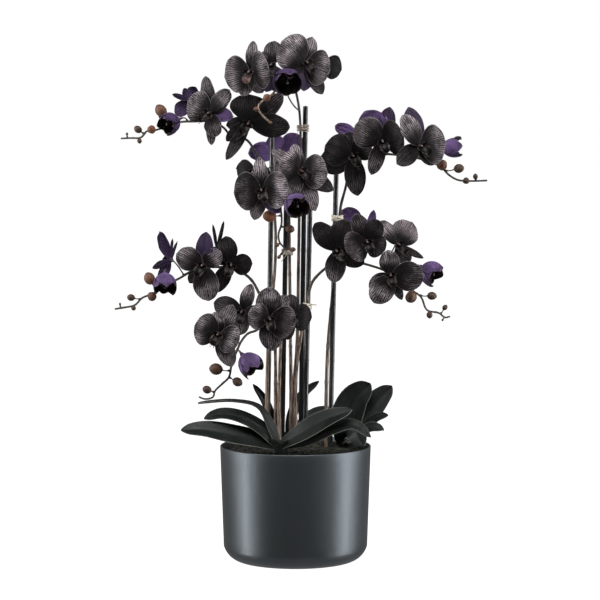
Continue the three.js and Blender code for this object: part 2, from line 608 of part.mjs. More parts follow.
function leafBlade({ route, width, flat }, root) {
  const curve = new THREE.CatmullRomCurve3([root, ...route.map(fromPhoto)], false, 'centripetal');
  const angle = THREE.MathUtils.degToRad(flat);
  const look = towardViewer.clone().multiplyScalar(Math.cos(angle)).addScaledVector(up, Math.sin(angle));
  return sheet(LEAF.rows, 2, LEAF.thick, (u, v) => {
    const along = curve.getTangentAt(u);
    const face = squareTo(look, along);
    const across = new THREE.Vector3().crossVectors(face, along);
    const half = (outline(LEAF, u) * width) / 2;
    const point = curve.getPointAt(u).addScaledVector(across, half * v);
    return point.addScaledVector(face, -LEAF.curl * half * v * v);
  });
}

function crownLine(crown) {
  const top = fromPhoto(crown);
  const foot = top.clone();
  foot.z = CROWN.foot;
  return { top, foot };
}

function rosette({ crown, leaves }) {
  const line = crownLine(crown);
  const root = line.top.clone().setZ(line.top.z - CROWN.sink);
  const pieces = leaves.map((leaf) => solid(leafBlade(leaf, root)));
  pieces.push(solid(rod(line, CROWN.radius, CROWN.sides)));
  return oneBody(joined(pieces));
}

function pot() {
  const { height, rimRadius, lowRadius, bevel, bevelSteps, bevelFlat, footRadius, wall, floor } = POT;
  const profile = [new THREE.Vector2(0, 0), new THREE.Vector2(footRadius, 0)];
  for (let k = 1; k <= bevelSteps; k += 1) {
    const share = k / bevelSteps;
    const angle = (Math.PI / 2) * share;
    const out = Math.sin(angle) + (share - Math.sin(angle)) * bevelFlat;
    const rise = 1 - Math.cos(angle) + (share - 1 + Math.cos(angle)) * bevelFlat;
    profile.push(new THREE.Vector2(footRadius + (lowRadius - footRadius) * out, bevel * rise));
  }
  profile.push(new THREE.Vector2(rimRadius, height - 1));
  profile.push(new THREE.Vector2(rimRadius - 1, height));
  profile.push(new THREE.Vector2(rimRadius - wall, height));
  profile.push(new THREE.Vector2(lowRadius - wall, bevel));
  profile.push(new THREE.Vector2(footRadius - wall, floor));
  profile.push(new THREE.Vector2(0, floor));
  return lathe(profile);
}

function lathe(profile) {
  const geometry = new THREE.LatheGeometry(profile, POT_SIDES);
  geometry.rotateX(Math.PI / 2);
  return geometry;
}

function soilHeight(x, y) {
  const out = Math.hypot(x, y) / POT.rimRadius;
  return SOIL.top + SOIL.mound * (1 - out * out) + SOIL.lump * Math.sin(x / 9) * Math.cos(y / 11);
}

// What fills the pot: its top is mounded and lumpy, and a plain hole holds each stake, stem and crown
function soil() {
  const inner = (z) => POT.lowRadius + ((POT.rimRadius - POT.lowRadius) * (z - POT.bevel))
    / (POT.height - POT.bevel) - POT.wall - SOIL.gap;
  const profile = [new THREE.Vector2(0, POT.floor + SOIL.gap)];
  profile.push(new THREE.Vector2(POT.footRadius - POT.wall - 2, POT.floor + SOIL.gap));
  profile.push(new THREE.Vector2(inner(POT.bevel) - 1, POT.bevel + 2));
  for (let k = SOIL.rings; k >= 0; k -= 1) {
    profile.push(new THREE.Vector2((inner(SOIL.top) * k) / SOIL.rings, SOIL.top));
  }
  const body = lathe(profile);
  const place = body.attributes.position;
  for (let i = 0; i < place.count; i += 1) {
    if (place.getZ(i) > SOIL.top - 1) place.setZ(i, soilHeight(place.getX(i), place.getY(i)));
  }
  const holes = [];
  for (const line of Object.values(STAKES)) {
    holes.push(solid(rod(sunk(stakeLine(line)), STAKE.radius * 1.06 + GAP, STAKE.sides)));
  }
  for (const [name, { route }] of Object.entries(SPIKES)) {
    const foot = onSpike(name, route[0]);
    const line = sunk({ top: foot.clone().setZ(POT.height + 20), foot: foot.clone().setZ(STEM.foot) });
    holes.push(solid(rod(line, STEM.low * 1.16 + GAP, SOIL.holeSides)));
  }
  for (const { crown } of Object.values(ROSETTES)) {
    const line = crownLine(crown);
    line.top.z += 40;
    holes.push(solid(rod(sunk(line), CROWN.radius * 1.06 + GAP, CROWN.sides)));
  }
  return oneBody(solid(body).subtract(joined(holes)));
}

function sunk({ top, foot }) {
  const down = foot.clone().sub(top).normalize();
  return { top, foot: foot.clone().addScaledVector(down, GAP) };
}

function mesh(name, body, colour) {
  const geometry = body.isBufferGeometry ? body : geometryOf(body);
  const [color, roughness, metalness] = COLOURS[colour];
  const piece = new THREE.Mesh(geometry, new THREE.MeshStandardMaterial({ color, roughness, metalness }));
  piece.name = name;
  return piece;
}

const orchid = new THREE.Group();
orchid.add(mesh('pot', pot(), 'pot'));
orchid.add(mesh('soil', soil(), 'soil'));
for (const [name, line] of Object.entries(STAKES)) {
  orchid.add(mesh(`stake_${name}`, rod(stakeLine(line), STAKE.radius, STAKE.sides), 'stake'));
}
for (const name of Object.keys(TIES)) orchid.add(mesh(`tie_${name}`, tie(name), 'tie'));
for (const [name, entry] of Object.entries(SPIKES)) {
  orchid.add(mesh(`spike_${name}`, spike(name, entry), 'spike'));
}
for (const [name, entry] of Object.entries(FLOWERS)) {
  orchid.add(mesh(`flower_${name}`, flower(name, entry), 'flower'));
}
for (const [name, entry] of Object.entries(HALF_OPEN)) {
  orchid.add(mesh(`flower_${name}`, halfOpenFlower(name, entry), 'halfOpen'));
}
for (const [name, entry] of Object.entries(ROSETTES)) {
  orchid.add(mesh(`leaves_${name}`, rosette(entry), 'leaf'));
}

export default orchid;
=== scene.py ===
# Potted moth orchid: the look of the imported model. Sizes are in millimetres until a mesh is made, +Z is up
# and the viewer is toward -Y.
import math
from random import Random

import bpy
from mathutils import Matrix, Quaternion, Vector, noise


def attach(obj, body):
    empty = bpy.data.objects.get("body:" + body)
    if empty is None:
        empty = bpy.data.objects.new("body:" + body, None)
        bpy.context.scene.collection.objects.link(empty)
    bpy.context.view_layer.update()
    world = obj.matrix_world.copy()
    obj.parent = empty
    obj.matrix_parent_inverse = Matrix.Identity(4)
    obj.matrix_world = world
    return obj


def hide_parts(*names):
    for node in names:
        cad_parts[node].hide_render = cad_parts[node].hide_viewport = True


MM = 0.001

# How the photograph looks at the object. A place read off it is across, down and depth behind the pot's axis,
# and one step of the picture is as many millimetres there as STEP says.
STEP = 1.75
CENTRE = 300
EYE = Vector((8, -3900, 724))
AIM = Vector((8, 0, 456))
SENSOR = 36.0

# The pot and what fills it
POT = {
    "height": 200.5, "rim": 132.4, "low": 126.4, "foot": 105, "wall": 3.2, "floor": 9, "ring": 1.5,
    "bevel": 24, "bevel_steps": 12, "bevel_flat": 0.4, "lip": 1.5, "lip_steps": 8, "wall_steps": 12,
    "sides": 160,
}
SOIL = {"top": 190, "mound": 7, "gap": 0.4, "rings": 36, "sides": 144}
# Each kind of lump in the soil: its size, where its pattern starts and its height
LUMPS = [(11, 3, 2.6), (4, 8, 1.2)]
BARK = {"count": 420, "long": (5, 15), "wide": (3, 8), "high": (1.5, 4), "sides": 6}
MOSS = {"tufts": 190, "blades": 9, "long": (4, 9), "spread": 5, "radius": 0.45}

# Stakes, stems, stalks and ties
STAKE = {
    "radius": 4.7, "sides": 28, "steps": 180, "foot": 110, "dome": 1.2, "dome_steps": 6, "knuckle": 0.35,
    "spacing": 96,
}
# Stake b is painted greyer: a painted reflection along it
STAKE_TONES = {"b": 0.4}
STEM = {
    "foot": 150, "sides": 12, "steps": 150, "low": 3.6, "high": 1.6, "knuckle": 0.7, "spacing": 64,
    "rough": (0.97, 1.03), "tip": (0.8, 0.9),
}
KNUCKLE_REACH = 2.2
STALK = {"radius": 1.25, "flare": 0.9, "sides": 10, "steps": 14, "behind": 14}
BRACT = {"length": 8, "width": 5, "thick": 0.5, "rows": 6, "columns": 4}
TIE = {"gap": 0.6, "height": 9, "strands": 7, "radius": 0.75, "tail": 1.2, "sides": 6, "steps": 40}
KNOT = {"out": 2, "places": 60, "turns": 4, "steps": 14, "wide": 2.6, "deep": 1.44, "pitch": 1.2, "tilt": 0.6}
LOOSE_END = {"rows": 14, "columns": 4, "thick": 0.6}
SHORT_END = {"share": -0.35, "hang": (2, -3, -7)}

# Blades of the flowers and leaves
PETAL = {
    "thick": 0.8, "rows": 26, "columns": 24, "floor": 0.13, "skew": 1.05, "round": 0.6, "arch": 4,
    "curl": 0.12, "layer": 1.8, "wave": 1.7, "fold": 0.6, "midrib": 0.16, "tip": 0.1, "pleat": 0.45,
    "rim": 1.6,
}
SEPAL = {
    "thick": 0.8, "rows": 22, "columns": 16, "floor": 0.2, "skew": 0.95, "round": 0.7, "arch": 2,
    "curl": 0, "layer": -1.8, "wave": 0.9, "fold": 0.7, "midrib": 0.16, "tip": 0.14, "pleat": 0.3,
    "rim": 0.9,
}
LEAF = {
    "thick": 1.6, "rows": 30, "columns": 14, "floor": 0.22, "skew": 0.9, "round": 0.6, "curl": -0.16,
    "wave": 1.2, "fold": 1.6, "midrib": 0.12, "tip": 0.1,
}
TIP_LEAST = 0.06

# What differs by chance from petal to petal, and where the pattern of its veins starts
BLADE_CHANCE = {
    "phase": (0, 6), "ripples": (1.6, 2.6), "lean": (-0.8, 0.8), "pleats": (2.4, 3.6), "roll": (0.4, 1),
}
VEIN_SEED = (3, 40)

# A sheet's rows crowd toward its tip, from this share of a half circle on, and its edge is thinner by a share
ROW_START = 0.12
EDGE_THIN = 0.5

# The other parts of a flower
CORE = {"radius": 5, "root": 2}
LIP = {"length": 20, "width": 17, "forward": 12, "rows": 12, "columns": 8, "thick": 0.8, "tip": 0.1}
LOBE_TONE = 0.12
SIDE_LOBE = {"length": 13, "width": 9, "out": 52, "rise": 9}
CALLUS = {"down": 5, "forward": 6, "radius": 1.6, "length": 2.2}
COLUMN = {"radius": 2.4, "length": 9, "cap": 2.0}
TENDRIL = {"length": 9, "radius": 0.45, "steps": 9, "turn": (190, 230), "spread": 0.35}
CUP = {
    "rows": 22, "columns": 16, "floor": 0.75, "spread": 57, "open": 122, "inner_open": 106, "taper": 0.5,
    "inner_taper": 0.2, "root": 7, "inner": 1.8, "core": 6, "flare": 0.9, "throat": 0.35, "wave": 1.6,
    "fold": 0.8, "midrib": 0.2,
}

# The slots of a flower's materials: front and back of a blade, lip and insides, column
FRONT, BACK, INSIDE, POST = range(4)

# The crown of a rosette and the sheaths of its leaves
CROWN = {"radius": 10, "foot": 160, "sink": 10, "steps": 12, "sides": 16}
SHEATH = {"length": 20, "wrap": 118, "rows": 10, "columns": 18, "thick": 1.4}

# How far each spike swings to the back for each millimetre that it reaches out beyond the stakes
SWING = {"a": 0, "b": 0.3, "c": -0.25, "d": 0, "e": 0.3, "f": -0.25, "g": -0.1}
SWING_START = 92

# Each stake: the places of its top and of a point low on it
STAKES = {
    "a": [[305.5, 106, 14], [300.5, 450, 14]],
    "b": [[272.5, 120, -1], [267.5, 440, -1]],
    "d": [[286.5, 190, 6], [282, 450, 6]],
    "c": [[336.4, 165, 0], [330.2, 440, 0]],
    "e": [[310.5, 185, -2], [304.7, 450, -2]],
}

# Each tie: how far down the photograph it is, where its loose end shows and how pale its strands are
TIES = {
    "a": {"down": 128, "tail": [296, 137], "tones": (0.0, 0.4)},
    "c": {"down": 218, "tail": [347, 222], "tones": (0.75, 1.0)},
    "d": {"down": 252, "tail": [281, 262], "tones": (0.3, 0.9)},
    "e": {"down": 306, "tail": [317, 305], "tones": (0.4, 1.0)},
}

# Each spike: the route of its stem, and its buds as place, radius and tone, some with the place on the stem
# that they hang from. An end tone makes the stem paler at its tip.
SPIKES = {
    "a": {
        "end_tone": 1.0,
        "route": [[294, 440, 14], [293.5, 392, 14], [297, 346, 13], [298.5, 264, 12], [299.5, 200, 11],
            [300.3, 150, 10], [300.5, 128, 10], [299, 108, 7], [296, 92, 0], [292, 78, -14],
            [285, 70, -34], [280, 74, -50], [279, 83, -56], [275, 91, -70], [270, 96, -90],
            [263, 100.5, -101], [258, 107, -104], [262, 115, -106], [269, 121.5, -107]],
        "buds": [[267, 97.5, -104, 7, 0.6], [256, 109, -108, 4.5, 0.35], [270.5, 122.5, -108, 3, 0.5]],
        "twig": [[299.5, 111, 6], [294.5, 106.5, -12], [289.5, 99, -42], [286.5, 92, -66]],
    },
    "b": {
        "route": [[266, 440, -12], [267, 392, -14], [268.5, 340, -14], [275.3, 260, -10], [275, 220, -8],
            [271, 185, -10], [263, 165, -14], [257, 155, -18], [248, 141, -22], [240, 137, -24],
            [231, 136, -26], [224, 128, -27], [214, 122, -28], [193, 121.5, -28], [181, 122, -29],
            [168, 126, -30], [156, 130, -32], [147, 131, -33], [141, 137.5, -34], [131, 138, -35],
            [121, 138.5, -36]],
        "buds": [[161, 110.5, -34, 11, 0.38, [170, 122]], [151.5, 129.5, -36, 8, 0.7],
            [138, 129.3, -35, 7, 0.1], [139.5, 141, -36, 4.5, 0.1], [127, 134, -36, 2.5, 0.1]],
    },
    "c": {
        "route": [[326, 440, 8], [326.3, 392, 9], [328, 346, 11], [332, 300, 12], [336.5, 250, 8],
            [339.2, 220, 3], [341, 205, 1], [345, 190, -1], [349, 174, -4], [356, 162, -8],
            [368, 155.5, -12], [383, 154, -14], [398, 155, -16], [412, 157, -18], [428, 161, -20],
            [441, 167, -22], [449, 175, -23], [458, 180, -24], [472, 181, -24], [487, 180.5, -25]],
        "buds": [[442, 165, -30, 10, 0.5], [459, 168.5, -26, 8.5, 0.12, [446, 169]],
            [466, 180.8, -27, 6.3, 0.05], [475.5, 176.5, -26, 4.8, 0.05]],
    },
    "d": {
        "route": [[290.5, 440, 2], [291, 392, 0], [290.5, 346, -2], [290, 300, -3], [289.5, 252, -2],
            [289, 215, -4], [288, 185, -8], [286, 165, -14], [282, 152, -26], [278, 150, -42],
            [275, 160, -58], [275, 178, -72], [278, 196, -84], [281, 210, -90], [281.5, 224, -92],
            [278.5, 234, -93], [279.5, 242, -94], [284.5, 249, -95], [281, 254, -95]],
        "buds": [[269.5, 216, -98, 11, 0.9], [290, 229, -95, 7.5, 0.3], [293, 249.5, -96, 4.5, 0.2],
            [277, 245, -94, 4, 0.25], [279, 257, -95, 3.5, 0.25]],
    },
    "e": {
        "route": [[296, 440, -10], [295.5, 392, -11], [297.5, 360, -12], [302, 330, -12],
            [306, 312, -11.5], [307.5, 300, -12], [309.5, 290, -14], [313, 281, -17], [320, 273, -20],
            [329, 266, -24], [340, 262, -28], [355, 262, -32], [372, 266, -36], [388, 272, -40],
            [402, 283, -44], [413, 291, -46], [421, 297, -47], [427, 310, -48], [439, 313, -48],
            [445, 317.5, -48], [450, 316.5, -49]],
        "buds": [[411, 297, -56, 11, 0.3], [432, 296, -50, 8, 0.12, [419, 296]],
            [429.6, 315, -52, 6, 0.15], [445, 307.5, -49, 5, 0.1], [442.6, 320, -50, 2.2, 0.1]],
    },
    "f": {
        "route": [[275.5, 440, 0], [275.5, 392, -4], [275, 346, -14], [271, 320, -20], [265, 304, -21],
            [259, 293, -19], [253, 282, -17], [246, 275, -17], [238, 271, -18], [228, 268, -22],
            [215, 267, -26], [202, 268, -28], [190, 272, -30], [180, 278, -32], [170, 283, -34],
            [160, 289, -36], [152, 294, -38], [142, 298, -39], [135, 305, -40], [124, 307.5, -41],
            [115, 309, -42]],
        "buds": [[149.6, 278.4, -40, 10.5, 0.5], [152, 296.5, -44, 8.5, 0.3],
            [131, 297.5, -41, 6.5, 0.15, [141, 299]], [133.5, 308, -43, 4.5, 0.15],
            [120, 304, -42, 2.2, 0.1]],
    },
    "g": {
        "route": [[279.5, 440, -12], [279, 400, -14], [280, 360, -18], [281, 335, -24], [280, 318, -30],
            [276, 308, -44], [270, 310, -58], [264, 322, -68], [257, 330, -74], [248, 333.5, -78],
            [241.5, 341, -82], [236, 353, -86], [231.5, 365, -88], [229, 377, -89], [222, 384, -90],
            [215, 391, -90], [213, 397, -91], [205, 399, -91], [199, 397, -92]],
        "buds": [[216, 369, -92, 11, 0.25], [237.5, 382, -92, 8.5, 0.15], [207, 389.6, -92, 7.5, 0.1]],
    },
}

# Each flower: its centre, the way it faces in degrees (turn to the right, tilt up), its lip's tip and its
# blades. A blade is its kind, the place of its tip, its width and how pale it is. How pale a blade is stands
# for painted light: it is painted paler where light falls on it and darker where it is in shade. "back" kinds
# show their other side.
FLOWERS = {
    "a1": {"at": [305, 63, -52], "faces": [22, 5], "lip": [310, 78], "blades": [
        ["petal", 281, 42, 70, 0.62], ["petal", 329, 72, 64, 0.28], ["sepal", 313, 37, 30, 0.35],
        ["back sepal", 304, 91, 34, 0.0], ["sepal", 323, 94, 30, 0.08], ["sepal", 288, 70, 28, 0.05]]},
    "a2": {"at": [251, 72, -88], "faces": [-22, 0], "lip": [250, 92], "lip_tone": 1.8, "blades": [
        ["petal", 225, 76, 64, 0.32], ["petal", 269, 68, 66, 0.4], ["sepal", 253, 41, 24, 0.42],
        ["sepal", 241, 96, 32, 0.28], ["sepal", 262, 93, 30, 0.15]]},
    "a3": {"at": [272, 65, -8], "faces": [-12, 0], "blades": [
        ["petal", 275, 41, 34, 0.45], ["petal", 259, 55, 36, 0.3], ["back sepal", 266, 92, 34, 0.0],
        ["back sepal", 277, 92, 32, 0.0]]},
    "a5": {"at": [322, 64, 16], "faces": [20, 0], "blades": [
        ["petal", 341, 70, 43, 0.02], ["petal", 300, 62, 44, 0.05], ["sepal", 318, 84, 28, 0.05]]},
    "b1": {"at": [249, 122, -58], "faces": [-10, -20], "lip": [241, 133], "blades": [
        ["petal", 250, 94, 68, 0.03], ["petal", 290, 127, 44, 0.05], ["sepal", 283, 95, 36, 0.2],
        ["sepal", 226, 160, 22, 0.12], ["sepal", 226, 141, 24, 0.05], ["sepal", 226, 126, 26, 0.04]]},
    "b2": {"at": [211, 113, -58], "faces": [-25, 0], "lip": [198, 127], "blades": [
        ["petal", 188, 101, 56, 0.3], ["petal", 230, 90, 32, 0.3], ["sepal", 205, 76, 28, 0.2],
        ["petal", 216, 137, 34, 0.28], ["sepal", 211, 145, 20, 0.16],
        ["back sepal", 233, 116, 26, 0.55]]},
    "b3": {"at": [189, 100, -4], "faces": [200, 10], "blades": [
        ["petal", 177, 116, 28, 0.2], ["petal", 196, 87, 22, 0.1], ["sepal", 172, 94, 10, 0.05],
        ["sepal", 184, 88, 14, 0.1]]},
    "c1": {"at": [352, 155, -40], "faces": [10, -8], "lip": [360, 170], "blades": [
        ["petal", 325, 145, 58, 0.04], ["petal", 370, 143, 44, 0.06], ["sepal", 348, 132, 38, 0.04],
        ["sepal", 319, 166, 50, 0.04], ["sepal", 358, 196, 38, 0.06]]},
    "c2": {"at": [382, 141, -66], "faces": [5, -5], "lip": [386, 153], "blades": [
        ["petal", 355, 125, 56, 0.3], ["petal", 403, 134, 62, 0.05], ["back sepal", 365, 111, 54, 0.45],
        ["back sepal", 390, 107, 32, 0.05], ["sepal", 371.5, 175, 28, 0.2]]},
    "c3": {"at": [419, 146, -90], "faces": [24, 0], "lip": [429, 160], "blades": [
        ["petal", 402, 115, 37, 0.55], ["petal", 445, 143, 68, 0.26], ["back sepal", 409, 107, 38, 0.0],
        ["sepal", 397, 164, 34, 0.08], ["sepal", 436, 164, 30, 0.05]]},
    "c5": {"at": [358, 136, 20], "faces": [180, 10], "blades": [
        ["petal", 335, 126, 24, 0.6], ["petal", 378, 128, 30, 0.45], ["sepal", 352, 150, 26, 0.5]]},
    "d1": {"at": [262, 190, -112], "faces": [-5, 0], "lip": [268, 208], "blades": [
        ["petal", 234, 192, 66, 0.15], ["petal", 289, 190, 64, 0.75], ["sepal", 259, 157, 26, 0.5],
        ["sepal", 254, 220, 28, 0.45], ["back sepal", 280, 213, 28, 0.2]]},
    "d2": {"at": [300, 171, -84], "faces": [22, 0], "lip": [309, 184], "blades": [
        ["petal", 279, 163, 60, 0.6], ["petal", 327, 172, 60, 0.5], ["sepal", 294, 144, 26, 0.5],
        ["sepal", 316, 211, 34, 0.3], ["sepal", 334, 190, 31, 0.04], ["sepal", 272, 150, 24, 0.6],
        ["sepal", 291, 197, 28, 0.25]]},
    "d4": {"at": [256, 172, -52], "faces": [-35, 0], "blades": [
        ["petal", 237, 169, 38, 0.03], ["petal", 270, 180, 40, 0.03], ["sepal", 254, 190, 26, 0.03]]},
    "d5": {"at": [280, 151, 28], "faces": [172, 8], "blades": [
        ["petal", 248, 153, 36, 1.0], ["petal", 303, 139, 42, 1.15], ["sepal", 270, 136, 34, 1.0],
        ["back sepal", 277, 172, 28, 0.7]]},
    "e1": {"at": [338, 250, -54], "faces": [-12, -8], "lip": [345, 256], "blades": [
        ["petal", 315, 223, 39, 0.04], ["petal", 348, 220, 50, 0.05], ["sepal", 333, 283, 37, 0.3],
        ["sepal", 364, 264, 36, 0.05]]},
    "e2": {"at": [367, 241, -84], "faces": [2, -8], "lip": [376, 261], "blades": [
        ["petal", 346, 251, 56, 0.45], ["petal", 385, 250, 42, 0.04], ["sepal", 355, 214, 32, 0.2],
        ["back sepal", 374, 210, 17, 0.6], ["petal", 379, 220, 36, 0.04]]},
    "e3": {"at": [397, 245, -44], "faces": [18, 8], "lip": [408, 264], "blades": [
        ["petal", 380, 221, 27, 0.85], ["petal", 411, 222, 51, 0.9], ["sepal", 398, 224, 22, 0.3],
        ["sepal", 424, 258, 13, 0.05], ["sepal", 409, 264, 32, 0.05]]},
    "e4": {"at": [391, 275, -84], "faces": [-4, 0], "lip": [398, 303], "blades": [
        ["petal", 374, 303, 44, 0.58], ["petal", 424, 277, 52, 0.18], ["sepal", 388, 250, 36, 0.68],
        ["sepal", 369, 288, 30, 0.42], ["sepal", 402, 300, 18, 0.2]]},
    "e6": {"at": [362, 226, 24], "faces": [180, 5], "blades": [
        ["petal", 342, 210, 34, 1.15], ["petal", 382, 238, 34, 0.7], ["sepal", 352, 248, 26, 0.5]]},
    "f1": {"at": [230, 264, -46], "faces": [12, -8], "lip": [224, 276], "blades": [
        ["petal", 225, 236, 34, 0.05], ["petal", 252, 264, 38, 0.06], ["sepal", 215, 252, 26, 0.1],
        ["sepal", 214, 293, 30, 0.04]]},
    "f2": {"at": [203, 265, -66], "faces": [-8, -3], "lip": [190, 290], "blades": [
        ["petal", 177, 253, 42, 0.25], ["petal", 209, 301, 46, 0.45], ["sepal", 221, 252, 34, 0.5],
        ["back sepal", 206, 232, 31, 0.1], ["sepal", 189, 283, 23, 0.05]]},
    "f3": {"at": [171, 260, -12], "faces": [-150, 8], "blades": [
        ["petal", 160, 232, 21, 0.1], ["petal", 161, 283, 22, 0.2], ["sepal", 172, 238, 6, 0.05],
        ["sepal", 177, 241, 6, 0.05], ["sepal", 152, 268, 14, 0.05]]},
    "f5": {"at": [217, 250, 14], "faces": [170, 5], "blades": [
        ["petal", 202, 260, 28, 0.3], ["petal", 233, 246, 30, 0.2], ["back sepal", 213, 224, 6, 0.1],
        ["back sepal", 224, 221, 7, 0.1]]},
    "g1": {"at": [219, 334, -110], "faces": [-10, 0], "lip": [210, 355], "blades": [
        ["petal", 195, 325, 57, 0.3], ["petal", 239, 343, 50, 0.6], ["sepal", 233, 305, 32, 0.5],
        ["sepal", 232, 367, 34, 0.4], ["sepal", 214, 312, 30, 0.5]]},
    "g2": {"at": [269, 318, -106], "faces": [8, -8], "lip": [272, 338], "blades": [
        ["petal", 248, 314, 46, 0.64], ["petal", 295, 325, 58, 0.26], ["sepal", 269, 287, 46, 0.52],
        ["sepal", 273, 351, 42, 0.28], ["sepal", 288, 296, 30, 0.55]]},
    "g3": {"at": [290, 316, -58], "faces": [25, 0], "blades": [
        ["petal", 311, 318, 48, 0.03], ["petal", 290, 294, 34, 0.08], ["sepal", 288, 340, 24, 0.05]]},
    "g5": {"at": [243, 312, -50], "faces": [-15, 0], "blades": [
        ["petal", 214, 303, 39, 0.12], ["petal", 262, 318, 36, 0.08], ["sepal", 251, 284, 26, 0.55],
        ["sepal", 240, 335, 30, 0.3]]},
}

# Each half-open flower: its centre, the way its mouth faces, the tones of its outer and inner blades, and its
# radius and length. The tones are painted light and shade: a blade is painted brighter where light falls on
# it.
HALF_OPEN = {
    "a4": {"at": [287, 82.5, -87], "faces": [18, -32], "tones": [0.35, 0.3], "radius": 24, "length": 24},
    "b4": {"at": [168, 124, -68], "faces": [-52, -20], "tones": [0.35, 0.25], "radius": 19.5, "length": 22},
    "c4": {"at": [455, 147.5, -6], "faces": [95, 5], "tones": [0.8, 0.6], "radius": 17, "length": 22},
    "d3": {"at": [297, 206, -122], "faces": [32, -28], "tones": [0.8, 0.7], "radius": 21, "length": 23},
    "e5": {"at": [433, 274, -50], "faces": [66, -28], "tones": [0.7, 0.5], "radius": 22, "length": 24},
    "f4": {"at": [165, 285.5, -62], "faces": [4, -60], "tones": [1.1, 0.9], "radius": 20, "length": 22},
    "g4": {"at": [251.5, 366, -108], "faces": [60, -45], "tones": [0.9, 0.75], "radius": 21, "length": 25},
}

# Each rosette: the place of its crown and its leaves. A leaf is its route, its width and how far it lies
# flat: at 0 degrees it faces the viewer, at 90 it faces up.
ROSETTES = {
    "left": {"crown": [279, 441, -75], "leaves": [
        {"width": 45, "flat": 50, "route": [[258, 440, -85], [232, 435, -95], [205, 430, -100],
            [181, 430, -104]]},
        {"width": 40, "flat": 62, "route": [[264, 431, -72], [243, 419, -76], [222, 414.5, -80],
            [204, 418.5, -84]]},
        {"width": 26, "flat": 84, "route": [[269, 423, -60], [258, 407, -55], [233, 401, -50],
            [198, 403, -46]]},
        {"width": 42, "flat": 50, "route": [[300, 434, -92], [325, 420, -98], [352, 410, -100]]},
        {"width": 34, "flat": 55, "route": [[305, 441, -84], [334, 429, -92], [354, 425, -96],
            [371, 437, -98]]}]},
    "back": {"crown": [288, 437, 60], "leaves": [
        {"width": 17, "flat": 20, "route": [[273, 420, 52], [265, 401, 46], [253, 384, 40]]},
        {"width": 19, "flat": 10, "route": [[292, 415, 66], [302, 395, 68], [319, 381, 70]]},
        {"width": 24, "flat": 68, "route": [[303, 421, 52], [320, 410, 50], [343, 411, 48]]}]},
    "right": {"crown": [345, 439, 15], "leaves": [
        {"width": 56, "flat": 10, "route": [[346, 420, 24], [354, 399, 28], [370.5, 383.5, 30]]},
        {"width": 48, "flat": 20, "route": [[361, 420, 40], [378, 400, 46], [392, 386, 48]]},
        {"width": 38, "flat": 65, "route": [[366, 428, 2], [378, 418, -4], [388, 415, -8]]},
        {"width": 38, "flat": 65, "route": [[360, 434, -18], [372, 428, -26], [384, 430, -30]]},
        {"width": 42, "flat": 20, "route": [[346, 432, -20], [353, 431, -40], [364, 446, -52]]}]},
}

# Colours as the renderer reads them
# A petal front's near-black ground: its own colour, and also the painted shade toward its foot
PETAL_DARK = (0.003, 0.0024, 0.0026)
# Painted light: the ground of a petal's front where light falls on it
PETAL_PAINTED_LIT = (0.026, 0.0215, 0.0235)
# Painted sheen: the smooth mauve-grey where a petal's velvet catches the light
PETAL_PAINTED_SHEEN = (0.1, 0.083, 0.09)
# The veins: dark where the petal is painted in shade, pale where it is painted lit
VEIN_DARK = (0.0095, 0.008, 0.0085)
VEIN_PALE = (0.53, 0.46, 0.49)
# A petal's pale edge: partly its own colour, partly painted rim light
PETAL_EDGE_AND_RIM_LIGHT = (0.2, 0.172, 0.185)
# A petal's back: deep violet at its dark tips and in painted shade, violet where painted light falls on it
VIOLET_DEEP = (0.016, 0.008, 0.024)
VIOLET = (0.15, 0.086, 0.235)
VIOLET_FOOT = (0.11, 0.07, 0.15)
VIOLET_VEIN = (0.015, 0.007, 0.03)
VIOLET_EDGE = (0.21, 0.14, 0.28)
# The lip's near-black, also used inside a half-open flower, where it is partly painted shade in the mouth
LIP_DARK = (0.002, 0.0015, 0.0016)
LIP_WARM = (0.0085, 0.0055, 0.0065)
LIP_ROSE = (0.055, 0.03, 0.026)
LIP_VEIN = (0.1, 0.066, 0.056)
LIP_STREAK = (0.17, 0.1, 0.088)
COLUMN_ROSE = (0.016, 0.009, 0.009)
COLUMN_CAP = (0.085, 0.055, 0.048)
STEM_LOW = (0.27, 0.19, 0.145)
STEM_HIGH = (0.026, 0.019, 0.014)
STEM_TIP = (0.24, 0.18, 0.125)
STEM_FIBRE = (0.035, 0.024, 0.017)
BUD_SMALL = (0.022, 0.016, 0.011)
BUD_LARGE = (0.22, 0.08, 0.036)
BUD_FRECKLE = (0.035, 0.02, 0.013)
BUD_TIP = (0.03, 0.02, 0.014)
CANE_BLACK = (0.0075, 0.0085, 0.0095)
# Painted reflection: the grey that a cane is painted toward by its tone
CANE_GREY = (0.05, 0.05, 0.055)
CANE_SCRATCH = (0.03, 0.03, 0.033)
RAFFIA_DARK = (0.17, 0.12, 0.085)
RAFFIA_PALE = (0.85, 0.79, 0.68)
RAFFIA_SHADE = (0.32, 0.24, 0.15)
LEAF_DARK = (0.0025, 0.0035, 0.003)
LEAF_GREEN = (0.0065, 0.0098, 0.008)
LEAF_LINE = (0.018, 0.023, 0.021)
LEAF_EDGE = (0.15, 0.16, 0.14)
LEAF_UNDER = (0.009, 0.0095, 0.0075)
LEAF_FOOT = (0.035, 0.03, 0.018)
SOIL_DARK = (0.0035, 0.0036, 0.0025)
SOIL_BROWN = (0.008, 0.0075, 0.0045)
BARK_DARK = (0.0045, 0.0044, 0.0028)
BARK_GOLD = (0.04, 0.031, 0.017)
MOSS_DARK = (0.005, 0.007, 0.0035)
MOSS_GREEN = (0.026, 0.036, 0.014)
POT_DARK = (0.071, 0.08, 0.083)
POT_GREY = (0.084, 0.094, 0.104)
POT_SPECK = (0.165, 0.18, 0.21)

